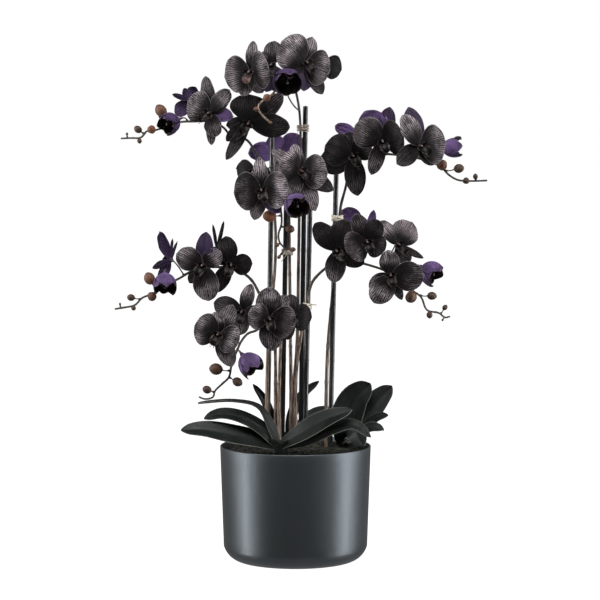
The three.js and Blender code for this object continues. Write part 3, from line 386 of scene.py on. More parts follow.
# How many veins fan out over a blade as wide as this, how they spread toward the tip and how wide one is
VEIN_BLADE = 60
PETAL_VEINS = 7.0
BACK_VEINS = 8.0
LIP_VEINS = 6.0
VEIN_SPREAD = 0.85
VEIN_WIDTH = (0.16, 0.52)

# Light: how bright the surroundings are for the object in front and behind, and each soft box with its place,
# aim, size and power
WORLD_LIGHT = (0.13, 0.25)
LIGHT_BELOW = 0.4
FLOOR_REACH = 60.0
FLOOR_COLOUR = (0.2, 0.2, 0.2)
WHITE = (1, 1, 1)
SOFTBOXES = [
    ("left_box", (-1.7, -0.2, 0.4), (0, 0, 0.3), (0.5, 3.0), 62),
    ("right_box", (1.7, -0.2, 0.4), (0, 0, 0.3), (0.5, 3.0), 62),
    ("top_box", (0, -1.6, 2.6), (0, 0, 0.5), (2.2, 1.4), 90),
]


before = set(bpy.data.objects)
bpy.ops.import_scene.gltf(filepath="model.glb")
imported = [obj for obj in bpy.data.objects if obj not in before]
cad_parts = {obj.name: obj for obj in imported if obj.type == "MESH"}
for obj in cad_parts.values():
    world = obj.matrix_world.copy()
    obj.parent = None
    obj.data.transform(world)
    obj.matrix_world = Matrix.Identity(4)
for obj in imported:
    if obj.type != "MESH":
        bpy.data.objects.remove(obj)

sight = (AIM - EYE).normalized()
view_distance = (AIM - EYE).length
picture = Vector((0, -sight.z, sight.y))
up = Vector((0, 0, 1))


def ray_to(across, down):
    """The direction from the eye to a place in the photograph."""
    ray = sight * view_distance + picture * ((CENTRE - down) * STEP)
    ray.x += (across - CENTRE) * STEP
    return ray.normalized()


def from_photo(place):
    across, down, depth = place
    ray = ray_to(across, down)
    return EYE + ray * ((depth - EYE.y) / ray.y)


def on_spike(name, place):
    """A place on a spike, which swings to the back or front as it reaches out."""
    across, down, depth = place
    out = max(0, abs(across - CENTRE) * STEP - SWING_START)
    return from_photo((across, down, depth + SWING[name] * out))


def onto_plane(across, down, point, normal):
    """Where the same view meets the plane through a point, square to a normal."""
    ray = ray_to(across, down)
    return EYE + ray * ((point - EYE).dot(normal) / ray.dot(normal))


def facing(turn, tilt):
    t, e = math.radians(turn), math.radians(tilt)
    return Vector((math.sin(t) * math.cos(e), -math.cos(t) * math.cos(e), math.sin(e)))


def square_to(vector, axis):
    return (vector - axis * vector.dot(axis)).normalized()


def smooth(low, high, value):
    share = min(1, max(0, (value - low) / (high - low)))
    return share * share * (3 - 2 * share)


def spoke(angle, reach=1.0, height=0.0):
    """A place round the upright axis."""
    return Vector((reach * math.cos(angle), reach * math.sin(angle), height))


class Shape:
    """Points and faces of one piece, with each face's material and each point's place and tone."""

    def __init__(self):
        self.points = []
        self.faces = []
        self.slots = []
        self.places = []
        self.fans = []
        self.tones = []

    def add(self, points, faces, slots, places, tone, fans=None):
        start = len(self.points)
        self.points += points
        self.faces += [[start + k for k in face] for face in faces]
        self.slots += slots if isinstance(slots, list) else [slots] * len(faces)
        self.places += places
        self.fans += fans or places
        self.tones += tone if isinstance(tone, list) else [tone] * len(points)

    def piece(self, name, nodes, slot, materials, sharp=None):
        """Makes the mesh, rides it on the body and lets it stand for its nodes."""
        mesh = bpy.data.meshes.new(name)
        mesh.from_pydata([point * MM for point in self.points], [], self.faces)
        mesh.polygons.foreach_set("material_index", self.slots)
        mesh.polygons.foreach_set("use_smooth", [True] * len(self.faces))
        for layer, values in (("place", self.places), ("fan", self.fans)):
            uv = mesh.uv_layers.new(name=layer)
            for corner, data in zip(mesh.loops, uv.data):
                data.uv = values[corner.vertex_index]
        tone = mesh.attributes.new("tone", "FLOAT", "POINT")
        tone.data.foreach_set("value", self.tones)
        for made in materials:
            mesh.materials.append(made)
        if sharp:
            mesh.set_sharp_from_angle(angle=math.radians(sharp))
        mesh.update()
        piece = placed(name, mesh)
        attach(piece, "root")
        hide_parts(*nodes)
        return piece


class Curve:
    """A smooth curve through points, read by its share of the length."""

    def __init__(self, points, steps=24):
        self.samples = []
        for k in range(len(points) - 1):
            first = points[k - 1] if k else points[0] * 2 - points[1]
            last = points[k + 2] if k + 2 < len(points) else points[-1] * 2 - points[-2]
            for i in range(steps):
                self.samples.append(bend(first, points[k], points[k + 1], last, i / steps))
        self.samples.append(points[-1].copy())
        self.reach = [0]
        for p, q in zip(self.samples, self.samples[1:]):
            self.reach.append(self.reach[-1] + (q - p).length)

    def at(self, share):
        goal = min(1, max(0, share)) * self.reach[-1]
        low, high = 0, len(self.reach) - 1
        while high - low > 1:
            middle = (low + high) // 2
            low, high = (middle, high) if self.reach[middle] <= goal else (low, middle)
        part = (goal - self.reach[low]) / max(1e-9, self.reach[high] - self.reach[low])
        return self.samples[low].lerp(self.samples[high], part)

    def heading(self, share):
        return (self.at(share + 0.002) - self.at(share - 0.002)).normalized()

    def nearest(self, point):
        best = min(range(len(self.samples)), key=lambda k: (self.samples[k] - point).length)
        return self.samples[best].copy()


def bend(p0, p1, p2, p3, t):
    """One stretch of a centripetal curve from p1 to p2."""
    d0, d1, d2 = ((q - p).length ** 0.5 for p, q in ((p0, p1), (p1, p2), (p2, p3)))
    leave = ((p1 - p0) / d0 - (p2 - p0) / (d0 + d1) + (p2 - p1) / d1) * d1
    arrive = ((p2 - p1) / d1 - (p3 - p1) / (d1 + d2) + (p3 - p2) / d2) * d1
    square = p1 * -3 + p2 * 3 - leave * 2 - arrive
    cube = p1 * 2 - p2 * 2 + leave + arrive
    return p1 + leave * t + square * t * t + cube * t ** 3


def grid_faces(rows, columns, start, turned):
    faces = []
    for i in range(rows):
        for j in range(columns):
            a = start + i * (columns + 1) + j
            face = [a, a + columns + 1, a + columns + 2, a + 1]
            faces.append(face[::-1] if turned else face)
    return faces


def sheet(shape, form, point_at, front=0, back=1, tone=0.0, fan=None):
    """A closed thin sheet over a grid: its front and back are finished apart and its edge is thinner."""
    rows, columns = form["rows"], form["columns"]
    angles = [math.pi * (ROW_START + (1 - ROW_START) * i / rows) for i in range(rows + 1)]
    shares = [0.5 - 0.5 * math.cos(angle) for angle in angles]
    shares = [(s - shares[0]) / (1 - shares[0]) for s in shares]
    spans = [math.sin(math.pi / 2 * (2 * j / columns - 1)) for j in range(columns + 1)]
    grid = [[point_at(u, v) for v in spans] for u in shares]
    points, places, fans = [], [], []
    for side in (1, -1):
        for i, u in enumerate(shares):
            for j, v in enumerate(spans):
                along = grid[min(i + 1, rows)][j] - grid[max(i - 1, 0)][j]
                over = grid[i][min(j + 1, columns)] - grid[i][max(j - 1, 0)]
                normal = along.cross(over).normalized()
                thin = 1 - EDGE_THIN * max(abs(v), u) ** 6
                points.append(grid[i][j] + normal * (side * form["thick"] * thin / 2))
                places.append(((v + 1) / 2, u))
                fans.append((fan(u, v) if fan else v, u))
    wide = columns + 1
    under = (rows + 1) * wide
    faces = grid_faces(rows, columns, 0, False) + grid_faces(rows, columns, under, True)
    slots = [front] * (rows * columns) + [back] * (rows * columns)
    rim = [i * wide for i in range(rows)] + [rows * wide + j for j in range(columns)]
    rim += [i * wide + columns for i in range(rows, 0, -1)] + list(range(columns, 0, -1))
    for p, q in zip(rim, rim[1:] + rim[:1]):
        faces.append([p, p + under, q + under, q])
        slots.append(front)
    shape.add(points, faces, slots, places, tone, fans)


def skin(shape, rings, shares, ends, slot, tone):
    """A closed skin over rings of points, with a point at each end."""
    sides = len(rings[0])
    points = [ends[0]] + [point for ring in rings for point in ring] + [ends[1]]
    places = [(0.5, 0)] + [(j / sides, share) for share in shares for j in range(sides)] + [(0.5, 1)]
    last = 1 + (len(rings) - 1) * sides
    faces = []
    for j in range(sides):
        k = (j + 1) % sides
        faces.append([0, 1 + k, 1 + j])
        faces.append([len(points) - 1, last + j, last + k])
        for start in range(1, last, sides):
            faces.append([start + j, start + k, start + k + sides, start + j + sides])
    shape.add(points, faces, slot, places, tone)


def tube(shape, centres, radii, sides, slot=0, tone=0.0):
    """A closed tube through the centres, each with its radius."""
    rings = []
    normal = None
    for i, (centre, radius) in enumerate(zip(centres, radii)):
        along = (centres[min(i + 1, len(centres) - 1)] - centres[max(i - 1, 0)]).normalized()
        normal = square_to(normal or Vector((along.z, along.x, along.y)), along)
        side = along.cross(normal)
        turns = [spoke(2 * math.pi * j / sides, radius) for j in range(sides)]
        rings.append([centre + normal * turn.x + side * turn.y for turn in turns])
    ends = [centres[0] - (centres[1] - centres[0]).normalized() * radii[0] * 0.5,
            centres[-1] + (centres[-1] - centres[-2]).normalized() * radii[-1] * 0.5]
    shares = [i / (len(centres) - 1) for i in range(len(centres))]
    skin(shape, rings, shares, ends, slot, tone)


def ball(shape, centre, axis, radius, length, slot=0, tone=0.0, rings=10, sides=12, groove=0.0, point=0.0):
    """An egg along an axis, with three long grooves and a pointed tip if asked."""
    turn = up.rotation_difference(axis)
    shares = [k / rings for k in range(1, rings)]
    layers = []
    for share in shares:
        polar = math.pi * share
        reach = radius * math.sin(polar) * (1 - point * smooth(0.5, 1, share))
        angles = [2 * math.pi * j / sides for j in range(sides)]
        layers.append([
            centre + turn @ spoke(a, reach * (1 - groove * math.cos(1.5 * a) ** 8), -length * math.cos(polar))
            for a in angles])
    ends = [centre - axis * length, centre + axis * length * (1 + point * 0.3)]
    skin(shape, layers, shares, ends, slot, tone)


def outline(form, u):
    """Half width of a blade along its length, as a share of its greatest half width."""
    half = form["floor"] + (1 - form["floor"]) * math.sin(math.pi * u ** form["skew"]) ** form["round"]
    return half * tip_round(form, u)


def tip_round(form, u):
    """Rounds the blade off over its last stretch."""
    past = max(0, (u - 1 + form["tip"]) / form["tip"])
    return max(TIP_LEAST, math.sqrt(max(0, 1 - past * past)))


def near_midrib(form, v):
    """How near a place across a blade is to its midrib, from 0 to 1."""
    return math.exp(-(v / form["midrib"]) ** 2)


def blade(shape, form, centre, tip, normal, width, tone, flipped, chance):
    """A petal or sepal: arched, cupped, folded at its midrib, wavy, pleated, and rolled at its rim."""
    along = tip - centre
    length = along.length
    along.normalize()
    face = square_to(normal, along)
    across = face.cross(along)
    phase, ripples, lean, pleats, roll = (chance.uniform(*span) for span in BLADE_CHANCE.values())
    roll *= chance.choice((-1, 1, 1))

    def point_at(u, v):
        half = outline(form, u) * width / 2
        lift = form["layer"] + form["arch"] * math.sin(math.pi * u) - form["curl"] * half * v * v
        lift += form["wave"] * u * abs(v) ** 2.5 * math.sin(ripples * 2 * math.pi * u + phase + 1.6 * v)
        lift -= form["fold"] * near_midrib(form, v) * math.sin(math.pi * u)
        lift += form["pleat"] * u * math.sin(pleats * math.pi * v + phase)
        rim = form["rim"] * roll * smooth(0.8, 1, max(abs(v), u))
        lift += rim * (0.6 + 0.4 * math.sin(3 * u + 2 * v + phase)) + lean * v * u
        out = CORE["root"] + (length - CORE["root"]) * u
        return centre + along * out + across * (half * v) + face * lift

    seed = chance.uniform(*VEIN_SEED)

    def fan(u, v):
        return seed + v * (outline(form, u) / (0.34 + 0.66 * u)) ** VEIN_SPREAD * width / VEIN_BLADE

    sheet(shape, form, point_at, BACK if flipped else FRONT, FRONT if flipped else BACK, tone, fan)


def lip(shape, centre, tip, normal, chance, tone, curls=True):
    """The lip: its middle lobe with two tendrils, two lobes rising beside the column, and a small callus."""
    down = square_to(tip - centre, normal)
    across = normal.cross(down)

    def middle(u, v):
        half = LIP["width"] / 2 * (0.35 + 0.65 * math.sin(math.pi * (0.15 + 0.75 * u))) * tip_round(LIP, u)
        rise = LIP["forward"] * math.sin(math.pi * 0.7 * u) + 2 + 5 * v * v
        return centre + down * (LIP["length"] * u) + normal * rise + across * (half * v)

    sheet(shape, LIP, middle, INSIDE, INSIDE, tone)
    for side in (-1, 1):
        out = math.radians(SIDE_LOBE["out"])
        lean = (across * (side * math.sin(out)) - down * math.cos(out)).normalized()

        def lobe(u, v, side=side, lean=lean):
            half = SIDE_LOBE["width"] / 2 * math.sin(math.pi * (0.12 + 0.8 * u)) ** 0.7
            rise = 2 + SIDE_LOBE["rise"] * math.sin(math.pi / 2 * u) + 2 * v * v
            middle_line = centre + down * 3 + across * (2 * side) + lean * (SIDE_LOBE["length"] * u * 0.7)
            return middle_line + normal * rise + lean.cross(normal) * (half * v)

        sheet(shape, LIP, lobe, INSIDE, INSIDE, LOBE_TONE)
        if curls:
            tendril(shape, middle(0.97, 0.5 * side), down, normal, across * side, chance)
    callus = centre + down * CALLUS["down"] + normal * CALLUS["forward"]
    ball(shape, callus, normal, CALLUS["radius"], CALLUS["length"], INSIDE, 1.0, 8, 10)


def tendril(shape, root, down, normal, out, chance):
    """A fine curl at the lip's tip."""
    line = []
    last = TENDRIL["steps"]
    for k in range(last + 1):
        angle = k / last * math.radians(chance.uniform(*TENDRIL["turn"]))
        reach = TENDRIL["length"] / 2
        place = down * (reach * math.sin(angle)) + normal * (reach * (1 - math.cos(angle)) * 0.8)
        line.append(root + place + out * (k * TENDRIL["spread"]))
    tube(shape, line, [TENDRIL["radius"] * (1 - 0.07 * k) for k in range(last + 1)], 6, INSIDE, 0.3)


def column(shape, centre, normal, down):
    """The column over the lip, with its pale cap."""
    axis = (normal * 0.92 + down * 0.3).normalized()
    root = centre + normal * 1.5 - down * 2.5
    line = [root + axis * (COLUMN["length"] * k / 5) for k in range(6)]
    tube(shape, line, [COLUMN["radius"] * (0.85 + 0.05 * k) for k in range(6)], 12, POST, 0.3)
    ball(shape, line[-1], axis, COLUMN["cap"], COLUMN["cap"] * 1.1, POST, 1.0, 8, 12, 0.12)


def flower(name, entry):
    """An open flower: its blades, lip, column and core."""
    shape = Shape()
    chance = Random("flower " + name)
    centre = on_spike(name[0], entry["at"])
    normal = facing(*entry["faces"])
    for kind, across, down, width, tone in entry["blades"]:
        form = PETAL if kind.endswith("petal") else SEPAL
        tip = onto_plane(across, down, centre, normal)
        blade(shape, form, centre, tip, normal, width, tone, kind.startswith("back"), chance)
    below = onto_plane(*entry["lip"], centre, normal) if "lip" in entry else centre - up * LIP["length"]
    lip(shape, centre, below, normal, chance, entry.get("lip_tone", LOBE_TONE))
    column(shape, centre, normal, square_to(below - centre, normal))
    ball(shape, centre - normal * 1.5, normal, CORE["radius"] * 0.75, CORE["radius"] * 0.9, BACK, 0.2)
    shape.piece("bloom_" + name, ["flower_" + name], "petal_skin", flower_finish)


def half_open(name, entry):
    """A half-open flower: three outer and three inner blades on two egg-shaped shells round its axis."""
    shape = Shape()
    chance = Random("half open " + name)
    centre = on_spike(name[0], entry["at"])
    axis = facing(*entry["faces"])
    side = square_to(Vector((1, 0.2, 0)), axis)
    top = axis.cross(side)
    radius, length = entry["radius"], entry["length"]
    cup_form = dict(PETAL, floor=CUP["floor"], skew=0.8, tip=0.34)
    for k in range(6):
        outer = k < 3
        middle = math.radians((90 if outer else 270) + 120 * k)
        shell = radius - (0 if outer else CUP["inner"])
        wave = chance.uniform(0, 6)
        reach = CUP["open" if outer else "inner_open"] + chance.uniform(-6, 6)
        taper = CUP["taper"] if outer else CUP["inner_taper"]

        def point_at(u, v, middle=middle, shell=shell, wave=wave, reach=reach, taper=taper):
            polar = math.radians(CUP["root"] + (reach - CUP["root"]) * u)
            half = outline(cup_form, u) * (1 - taper * smooth(0.5, 1, u))
            turn = spoke(middle + math.radians(CUP["spread"]) * v * half)
            curl = CUP["wave"] * u * u * v * v * math.sin(5 * u + 3 * v + wave)
            curl += CUP["flare"] * smooth(0.72, 1, u) - CUP["fold"] * near_midrib(CUP, v)
            point = centre + (side * turn.x + top * turn.y) * ((shell + curl) * math.sin(polar))
            return point - axis * ((length - (radius - shell)) * math.cos(polar))

        # The inside takes the lip's near-black, partly painted shade in the mouth. The tone paints the violet
        # outside brighter where light falls and darker in shade.
        tone = entry["tones"][0 if outer else 1]
        sheet(shape, dict(CUP, thick=PETAL["thick"]), point_at, INSIDE, BACK, tone)
    throat = centre - axis * (length * CUP["throat"])
    lip(shape, throat, throat + axis * 20, square_to(up, axis), chance, LOBE_TONE, False)
    column(shape, throat, axis, square_to(-up, axis))
    ball(shape, centre - axis * length, axis, CUP["core"] * 0.7, CUP["core"], BACK, 0.3)
    shape.piece("bloom_" + name, ["flower_" + name], "petal_skin", flower_finish)


def stem_curve(name):
    points = [on_spike(name, place) for place in SPIKES[name]["route"]]
    ground = points[0].copy()
    ground.z = STEM["foot"]
    return Curve([ground] + points)


def knuckle(reach, spacing):
    """How near a place along a stem or cane is to one of its joints, from 0 to 1."""
    off = abs((reach / spacing) % 1 - 0.5) * spacing
    return math.exp(-(off / KNUCKLE_REACH) ** 2)


def stem(shape, curve, chance, end_tone):
    """The stem, thinner toward its tip, with a tone that rises along it."""
    length = curve.reach[-1]
    shares = [k / STEM["steps"] for k in range(STEM["steps"] + 1)]
    radii = []
    for share in shares:
        radius = STEM["low"] + (STEM["high"] - STEM["low"]) * share
        radius += STEM["knuckle"] * knuckle(share * length, STEM["spacing"]) * (1 - 0.6 * share)
        radii.append(radius * chance.uniform(*STEM["rough"]))
    tones = [share + end_tone * smooth(*STEM["tip"], share) for share in shares for _ in range(STEM["sides"])]
    tube(shape, [curve.at(share) for share in shares], radii, STEM["sides"], 0, [0.0] + tones + [1.0])


def bract(shape, root, along, out, size):
    """The small dry scale where a stalk or bud leaves its stem."""
    across = along.cross(out).normalized()

    def point_at(u, v):
        half = BRACT["width"] * size / 2 * math.cos(math.pi / 2 * u ** 1.4) + 0.2
        point = root + along * (BRACT["length"] * size * u) + across * (half * v)
        return point + out * (1.2 * size * (1 - v * v) + u)

    sheet(shape, BRACT, point_at, 0, 0, 0.6)


def stalk(shape, name, curve, entry):
    """A flower's own stalk, from the stem round to the back of the flower."""
    normal = facing(*entry["faces"])
    back = CORE["radius"] if "blades" in entry else entry["length"] + CUP["core"] - 1
    end = on_spike(name, entry["at"]) - normal * back
    behind = end - normal * STALK["behind"]
    root = curve.nearest(behind)
    shares = [k / STALK["steps"] for k in range(STALK["steps"] + 1)]
    centres = [root * (1 - t) ** 2 + behind * (2 * t * (1 - t)) + end * t * t for t in shares]
    radii = [STALK["radius"] + STALK["flare"] * smooth(0.7, 1, t) for t in shares]
    tube(shape, centres, radii, STALK["sides"], 0, 1.0)
    along = (centres[1] - centres[0]).normalized()
    bract(shape, root, along, square_to(Vector((0.3, -1, -0.5)), along), 0.8)


def bud(shape, name, curve, entry):
    """A bud on its short bowed stalk. It may name the place on the stem that it hangs from."""
    across, down, depth, radius, tone, *hangs = entry
    place = on_spike(name, (across, down, depth))
    root = curve.nearest(on_spike(name, (*hangs[0], depth)) if hangs else place)
    away = (place - root).normalized()
    ball(shape, place, away, radius * 0.93, radius * 1.08, 1, tone, 16, 24, 0.1, 0.15)
    inside = place - away * radius * 0.9
    bow = root.lerp(inside, 0.5) + Vector((0, 0, -0.12 * (inside - root).length))
    centres = [root, root.lerp(bow, 0.6), bow.lerp(inside, 0.5), inside]
    tube(shape, centres, [0.9, 0.9, 1.0, 1.5], 8, 0, 1.0 + SPIKES[name].get("end_tone", 0.0))
    bract(shape, root, away, square_to(Vector((0.2, -1, -0.4)), away), 0.6 + 0.03 * radius)


def twig(shape, name, route):
    """A side twig, which starts inside the stem."""
    curve = Curve([on_spike(name, place) for place in route])
    line = [curve.at(k / STALK["steps"]) for k in range(STALK["steps"] + 1)]
    tube(shape, line, [STALK["radius"]] * len(line), STALK["sides"], 0, 1.0)


def spike(name, entry):
    """A whole spike: its stem, buds, twig and the stalks of its flowers."""
    shape = Shape()
    chance = Random("spike " + name)
    curve = stem_curve(name)
    stem(shape, curve, chance, entry.get("end_tone", 0.0))
    for place in entry["buds"]:
        bud(shape, name, curve, place)
    if "twig" in entry:
        twig(shape, name, entry["twig"])
    for key, bloom in {**FLOWERS, **HALF_OPEN}.items():
        if key[0] == name:
            stalk(shape, name, curve, bloom)
    shape.piece("stem_" + name, ["spike_" + name], "stem_and_bud", [stem_finish(), bud_finish()])


def stake_line(places):
    """The foot and the top of a stake, the foot down in the soil."""
    high, low = (from_photo(place) for place in places)
    reach = (low.z - STAKE["foot"]) / (high.z - low.z)
    return low - (high - low) * reach, high


def stake(name, places):
    """A cane with faint joints and a low dome on top."""
    shape = Shape()
    foot, top = stake_line(places)
    along = (top - foot).normalized()
    length = (top - foot).length - STAKE["dome"]
    centres, radii = [], []
    for k in range(STAKE["steps"] + 1):
        reach = length * k / STAKE["steps"]
        centres.append(foot + along * reach)
        radii.append(STAKE["radius"] + STAKE["knuckle"] * (knuckle(reach, STAKE["spacing"]) - 1))
    rim = radii[-1]
    for k in range(1, STAKE["dome_steps"]):
        angle = math.pi / 2 * k / STAKE["dome_steps"]
        centres.append(foot + along * (length + STAKE["dome"] * math.sin(angle)))
        radii.append(rim * math.cos(angle))
    tube(shape, centres, radii, STAKE["sides"], 0, STAKE_TONES.get(name, 0.0))
    shape.piece("cane_" + name, ["stake_" + name], "stake_lacquer", [stake_finish()])


def round_pair(first, second, reach_first, reach_second, share):
    """A place on the loop that runs round two upright rods."""
    heading = math.atan2(second.y - first.y, second.x - first.x)
    gap = (second - first).length
    goal = (share % 1) * (math.pi * (reach_first + reach_second) + 2 * gap)
    rods = [(first, reach_first), (second, reach_second)]
    for k, (rod, reach) in enumerate(rods):
        start = heading + math.pi / 2 + math.pi * k
        if goal < math.pi * reach:
            return rod + spoke(start + goal / reach, reach)
        goal -= math.pi * reach
        other, other_reach = rods[1 - k]
        leave = rod + spoke(start + math.pi, reach)
        if goal < gap:
            return leave.lerp(other + spoke(start + math.pi, other_reach), goal / gap)
        goal -= gap
    return first + spoke(heading + math.pi / 2, reach_first)


def tie(name, entry):
    """Strands of raffia wound round a stake and its stem, with a knot in front and loose ends."""
    shape = Shape()
    chance = Random("tie " + name)
    foot, top = stake_line(STAKES[name])
    middle = from_photo((CENTRE, entry["down"], top.y)).z
    cane = foot.lerp(top, (middle - foot.z) / (top.z - foot.z))
    beside = next(point for point in stem_curve(name).samples if point.z >= middle)
    beside.z = cane.z = middle
    for k in range(TIE["strands"]):
        level = TIE["height"] * (k / (TIE["strands"] - 1) - 0.5)
        slope = chance.uniform(-1.6, 1.6)
        grow = TIE["gap"] + TIE["radius"] + chance.uniform(0, 0.6)
        reaches = (STAKE["radius"] + grow, STEM["low"] + STEM["knuckle"] + grow)
        line = []
        for i in range(TIE["steps"] + 1):
            share = i / TIE["steps"]
            spot = round_pair(cane, beside, *reaches, share)
            line.append(spot + Vector((0, 0, level + slope * math.cos(2 * math.pi * share))))
        strand(shape, line, entry, chance)
    reaches = (STAKE["radius"] + KNOT["out"], STEM["low"] + KNOT["out"])
    loop = (round_pair(cane, beside, *reaches, k / KNOT["places"]) for k in range(KNOT["places"]))
    front = min(loop, key=lambda spot: spot.y)
    knot = Vector((front.x, front.y - TIE["tail"], middle))
    wind_knot(shape, knot, entry, chance)
    end = from_photo((*entry["tail"], knot.y - 4 * TIE["tail"]))
    loose_end(shape, knot, end, chance)
    other_end = knot + (end - knot) * SHORT_END["share"] + Vector(SHORT_END["hang"])
    loose_end(shape, knot, other_end, chance)
    shape.piece("raffia_" + name, ["tie_" + name], "raffia", [raffia_finish()])


def strand(shape, line, entry, chance):
    """One strand, with a tone of its own."""
    tube(shape, line, [TIE["radius"]] * len(line), TIE["sides"], 0, chance.uniform(*entry["tones"]))


def wind_knot(shape, knot, entry, chance):
    """A few small turns of raffia, one over the other, each tilted its own way."""
    for k in range(KNOT["turns"]):
        tilt = Quaternion((0, 1, 0), chance.uniform(-KNOT["tilt"], KNOT["tilt"]))
        line = []
        for i in range(KNOT["steps"] + 1):
            turn = spoke(2 * math.pi * i / KNOT["steps"])
            rise = (k - (KNOT["turns"] - 1) / 2) * KNOT["pitch"]
            line.append(knot + tilt @ Vector((KNOT["wide"] * turn.x, KNOT["deep"] * turn.y, rise)))
        strand(shape, line, entry, chance)


def loose_end(shape, knot, end, chance):
    """A limp flat end of raffia."""
    sag = Vector((chance.uniform(-1, 1), -1.5, 2))
    line = Curve([knot, knot.lerp(end, 0.45) + sag, end])

    def point_at(u, v):
        across = square_to(Vector((0.3, -0.4, 1)), line.heading(u))
        return line.at(u) + across * (v * TIE["tail"] * (1 - 0.5 * u))

    sheet(shape, LOOSE_END, point_at, 0, 0, chance.random())


def leaf_blade(shape, entry, root, chance):
    """A long leaf, channelled along its midrib."""
    curve = Curve([root] + [from_photo(place) for place in entry["route"]])
    angle = math.radians(entry["flat"])
    look = Vector((0, -math.cos(angle), math.sin(angle)))
    phase = chance.uniform(0, 6)

    def point_at(u, v):
        along = curve.heading(u)
        face = square_to(look, along)
        half = outline(LEAF, u) * entry["width"] / 2
        lift = -LEAF["curl"] * half * v * v - LEAF["fold"] * near_midrib(LEAF, v)
        lift += LEAF["wave"] * u * v * v * math.sin(7 * u + phase + v)
        return curve.at(u) + face.cross(along) * (half * v) + face * lift

    sheet(shape, LEAF, point_at, 0, 1, chance.uniform(0.2, 0.8))


def sheath(shape, top, entry, layer):
    """The folded foot of a leaf, clasping the crown."""
    first = from_photo(entry["route"][0])
    heading = math.atan2(first.y - top.y, first.x - top.x)

    def point_at(u, v):
        open_side = math.cos(math.pi / 2 * v)
        reach = CROWN["radius"] + 0.6 + 0.9 * layer + 4 * u * u * open_side
        height = -SHEATH["length"] + (SHEATH["length"] - 6 + 12 * open_side - layer) * u
        return top + spoke(heading + math.radians(SHEATH["wrap"]) * v, reach, height)

    sheet(shape, SHEATH, point_at, 1, 0, 0.9)


def rosette(name, entry):
    """Leaves round a short crown."""
    shape = Shape()
    chance = Random("rosette " + name)
    top = from_photo(entry["crown"])
    root = top - up * CROWN["sink"]
    for layer, leaf in enumerate(entry["leaves"]):
        leaf_blade(shape, leaf, root, chance)
        sheath(shape, top, leaf, layer)
    foot = Vector((top.x, top.y, CROWN["foot"]))
    shares = [k / CROWN["steps"] for k in range(CROWN["steps"] + 1)]
    radii = [CROWN["radius"] * (1 - 0.5 * smooth(0.8, 1, share)) for share in shares]
    tube(shape, [foot.lerp(top, share) for share in shares], radii, CROWN["sides"], 0, 0.9)
    shape.piece("rosette_" + name, ["leaves_" + name], "leaf_skin", [leaf_finish(), leaf_back_finish()])


def lathe(shape, profile, sides):
    """A closed body of revolution whose profile starts and ends on the axis."""
    turns = [2 * math.pi * j / sides for j in range(sides)]
    rings = [[spoke(turn, reach, height) for turn in turns] for reach, height in profile[1:-1]]
    shares = [(k + 1) / len(profile) for k in range(len(rings))]
    skin(shape, rings, shares, [Vector((0, 0, profile[k][1])) for k in (0, -1)], 0, 0.0)


def pot():
    """The pot: a thin wall with a rounded rim, a softened bevel low down and a foot ring."""
    shape = Shape()
    height, rim, low, bevel = POT["height"], POT["rim"], POT["low"], POT["bevel"]
    foot, wall, floor_top, ring = POT["foot"], POT["wall"], POT["floor"], POT["ring"]
    profile = [(0, ring), (foot - 10, ring), (foot - 8, 0), (foot, 0)]
    for k in range(1, POT["bevel_steps"] + 1):
        share = k / POT["bevel_steps"]
        turn = spoke(math.pi / 2 * share)
        out = turn.y + (share - turn.y) * POT["bevel_flat"]
        rise = 1 - turn.x + (share - 1 + turn.x) * POT["bevel_flat"]
        profile.append((foot + (low - foot) * out, bevel * rise))
    shoulder = height - POT["lip"]
    for k in range(1, POT["wall_steps"]):
        share = k / POT["wall_steps"]
        profile.append((low + (rim - low) * share, bevel + (shoulder - bevel) * share))
    for k in range(POT["lip_steps"] + 1):
        turn = spoke(math.pi * k / POT["lip_steps"])
        profile.append((rim - wall / 2 + wall / 2 * turn.x, shoulder + POT["lip"] * turn.y))
    profile += [(low - wall, bevel), (foot - wall, floor_top), (0, floor_top)]
    lathe(shape, profile, POT["sides"])
    shape.piece("pot_body", ["pot"], "pot_finish", [pot_finish()], 50)


def inner_reach(height):
    """How far the planting material reaches out at a height in the pot."""
    share = (height - POT["bevel"]) / (POT["height"] - POT["bevel"])
    return POT["low"] + (POT["rim"] - POT["low"]) * share - POT["wall"] - SOIL["gap"]


def soil_height(x, y):
    """How high the lumpy mound is at a place."""
    out = math.hypot(x, y) / POT["rim"]
    fine = sum(noise.noise(Vector((x / size, y / size, start))) * high for size, start, high in LUMPS)
    return SOIL["top"] + SOIL["mound"] * (1 - out * out) + fine


def soil():
    """What fills the pot: a lumpy mound, strewn with bark and tufts of moss."""
    shape = Shape()
    rings = SOIL["rings"]
    edge = inner_reach(SOIL["top"])
    low = POT["floor"] + SOIL["gap"]
    profile = [(0, low), (POT["foot"] - POT["wall"] - 2, low)]
    profile += [(inner_reach(POT["bevel"]) - 1, POT["bevel"] + 2)]
    profile += [(edge * k / rings, SOIL["top"]) for k in range(rings, -1, -1)]
    lathe(shape, profile, SOIL["sides"])
    for point in shape.points:
        if point.z > SOIL["top"] - 1:
            point.z = soil_height(point.x, point.y)
    chance = Random("soil")
    for _ in range(BARK["count"]):
        chip(shape, *spot_in_pot(chance, edge - 8), chance)
    for _ in range(MOSS["tufts"]):
        tuft(shape, *spot_in_pot(chance, edge - 5), chance)
    finishes = [soil_finish(), bark_finish(), moss_finish()]
    shape.piece("bark_and_moss", ["soil"], "bark_and_moss", finishes, 40)


def spot_in_pot(chance, reach):
    """A random place on the mound, as likely near the wall as near the middle."""
    out = reach * math.sqrt(chance.random())
    angle = chance.uniform(0, 2 * math.pi)
    return out * math.cos(angle), out * math.sin(angle)


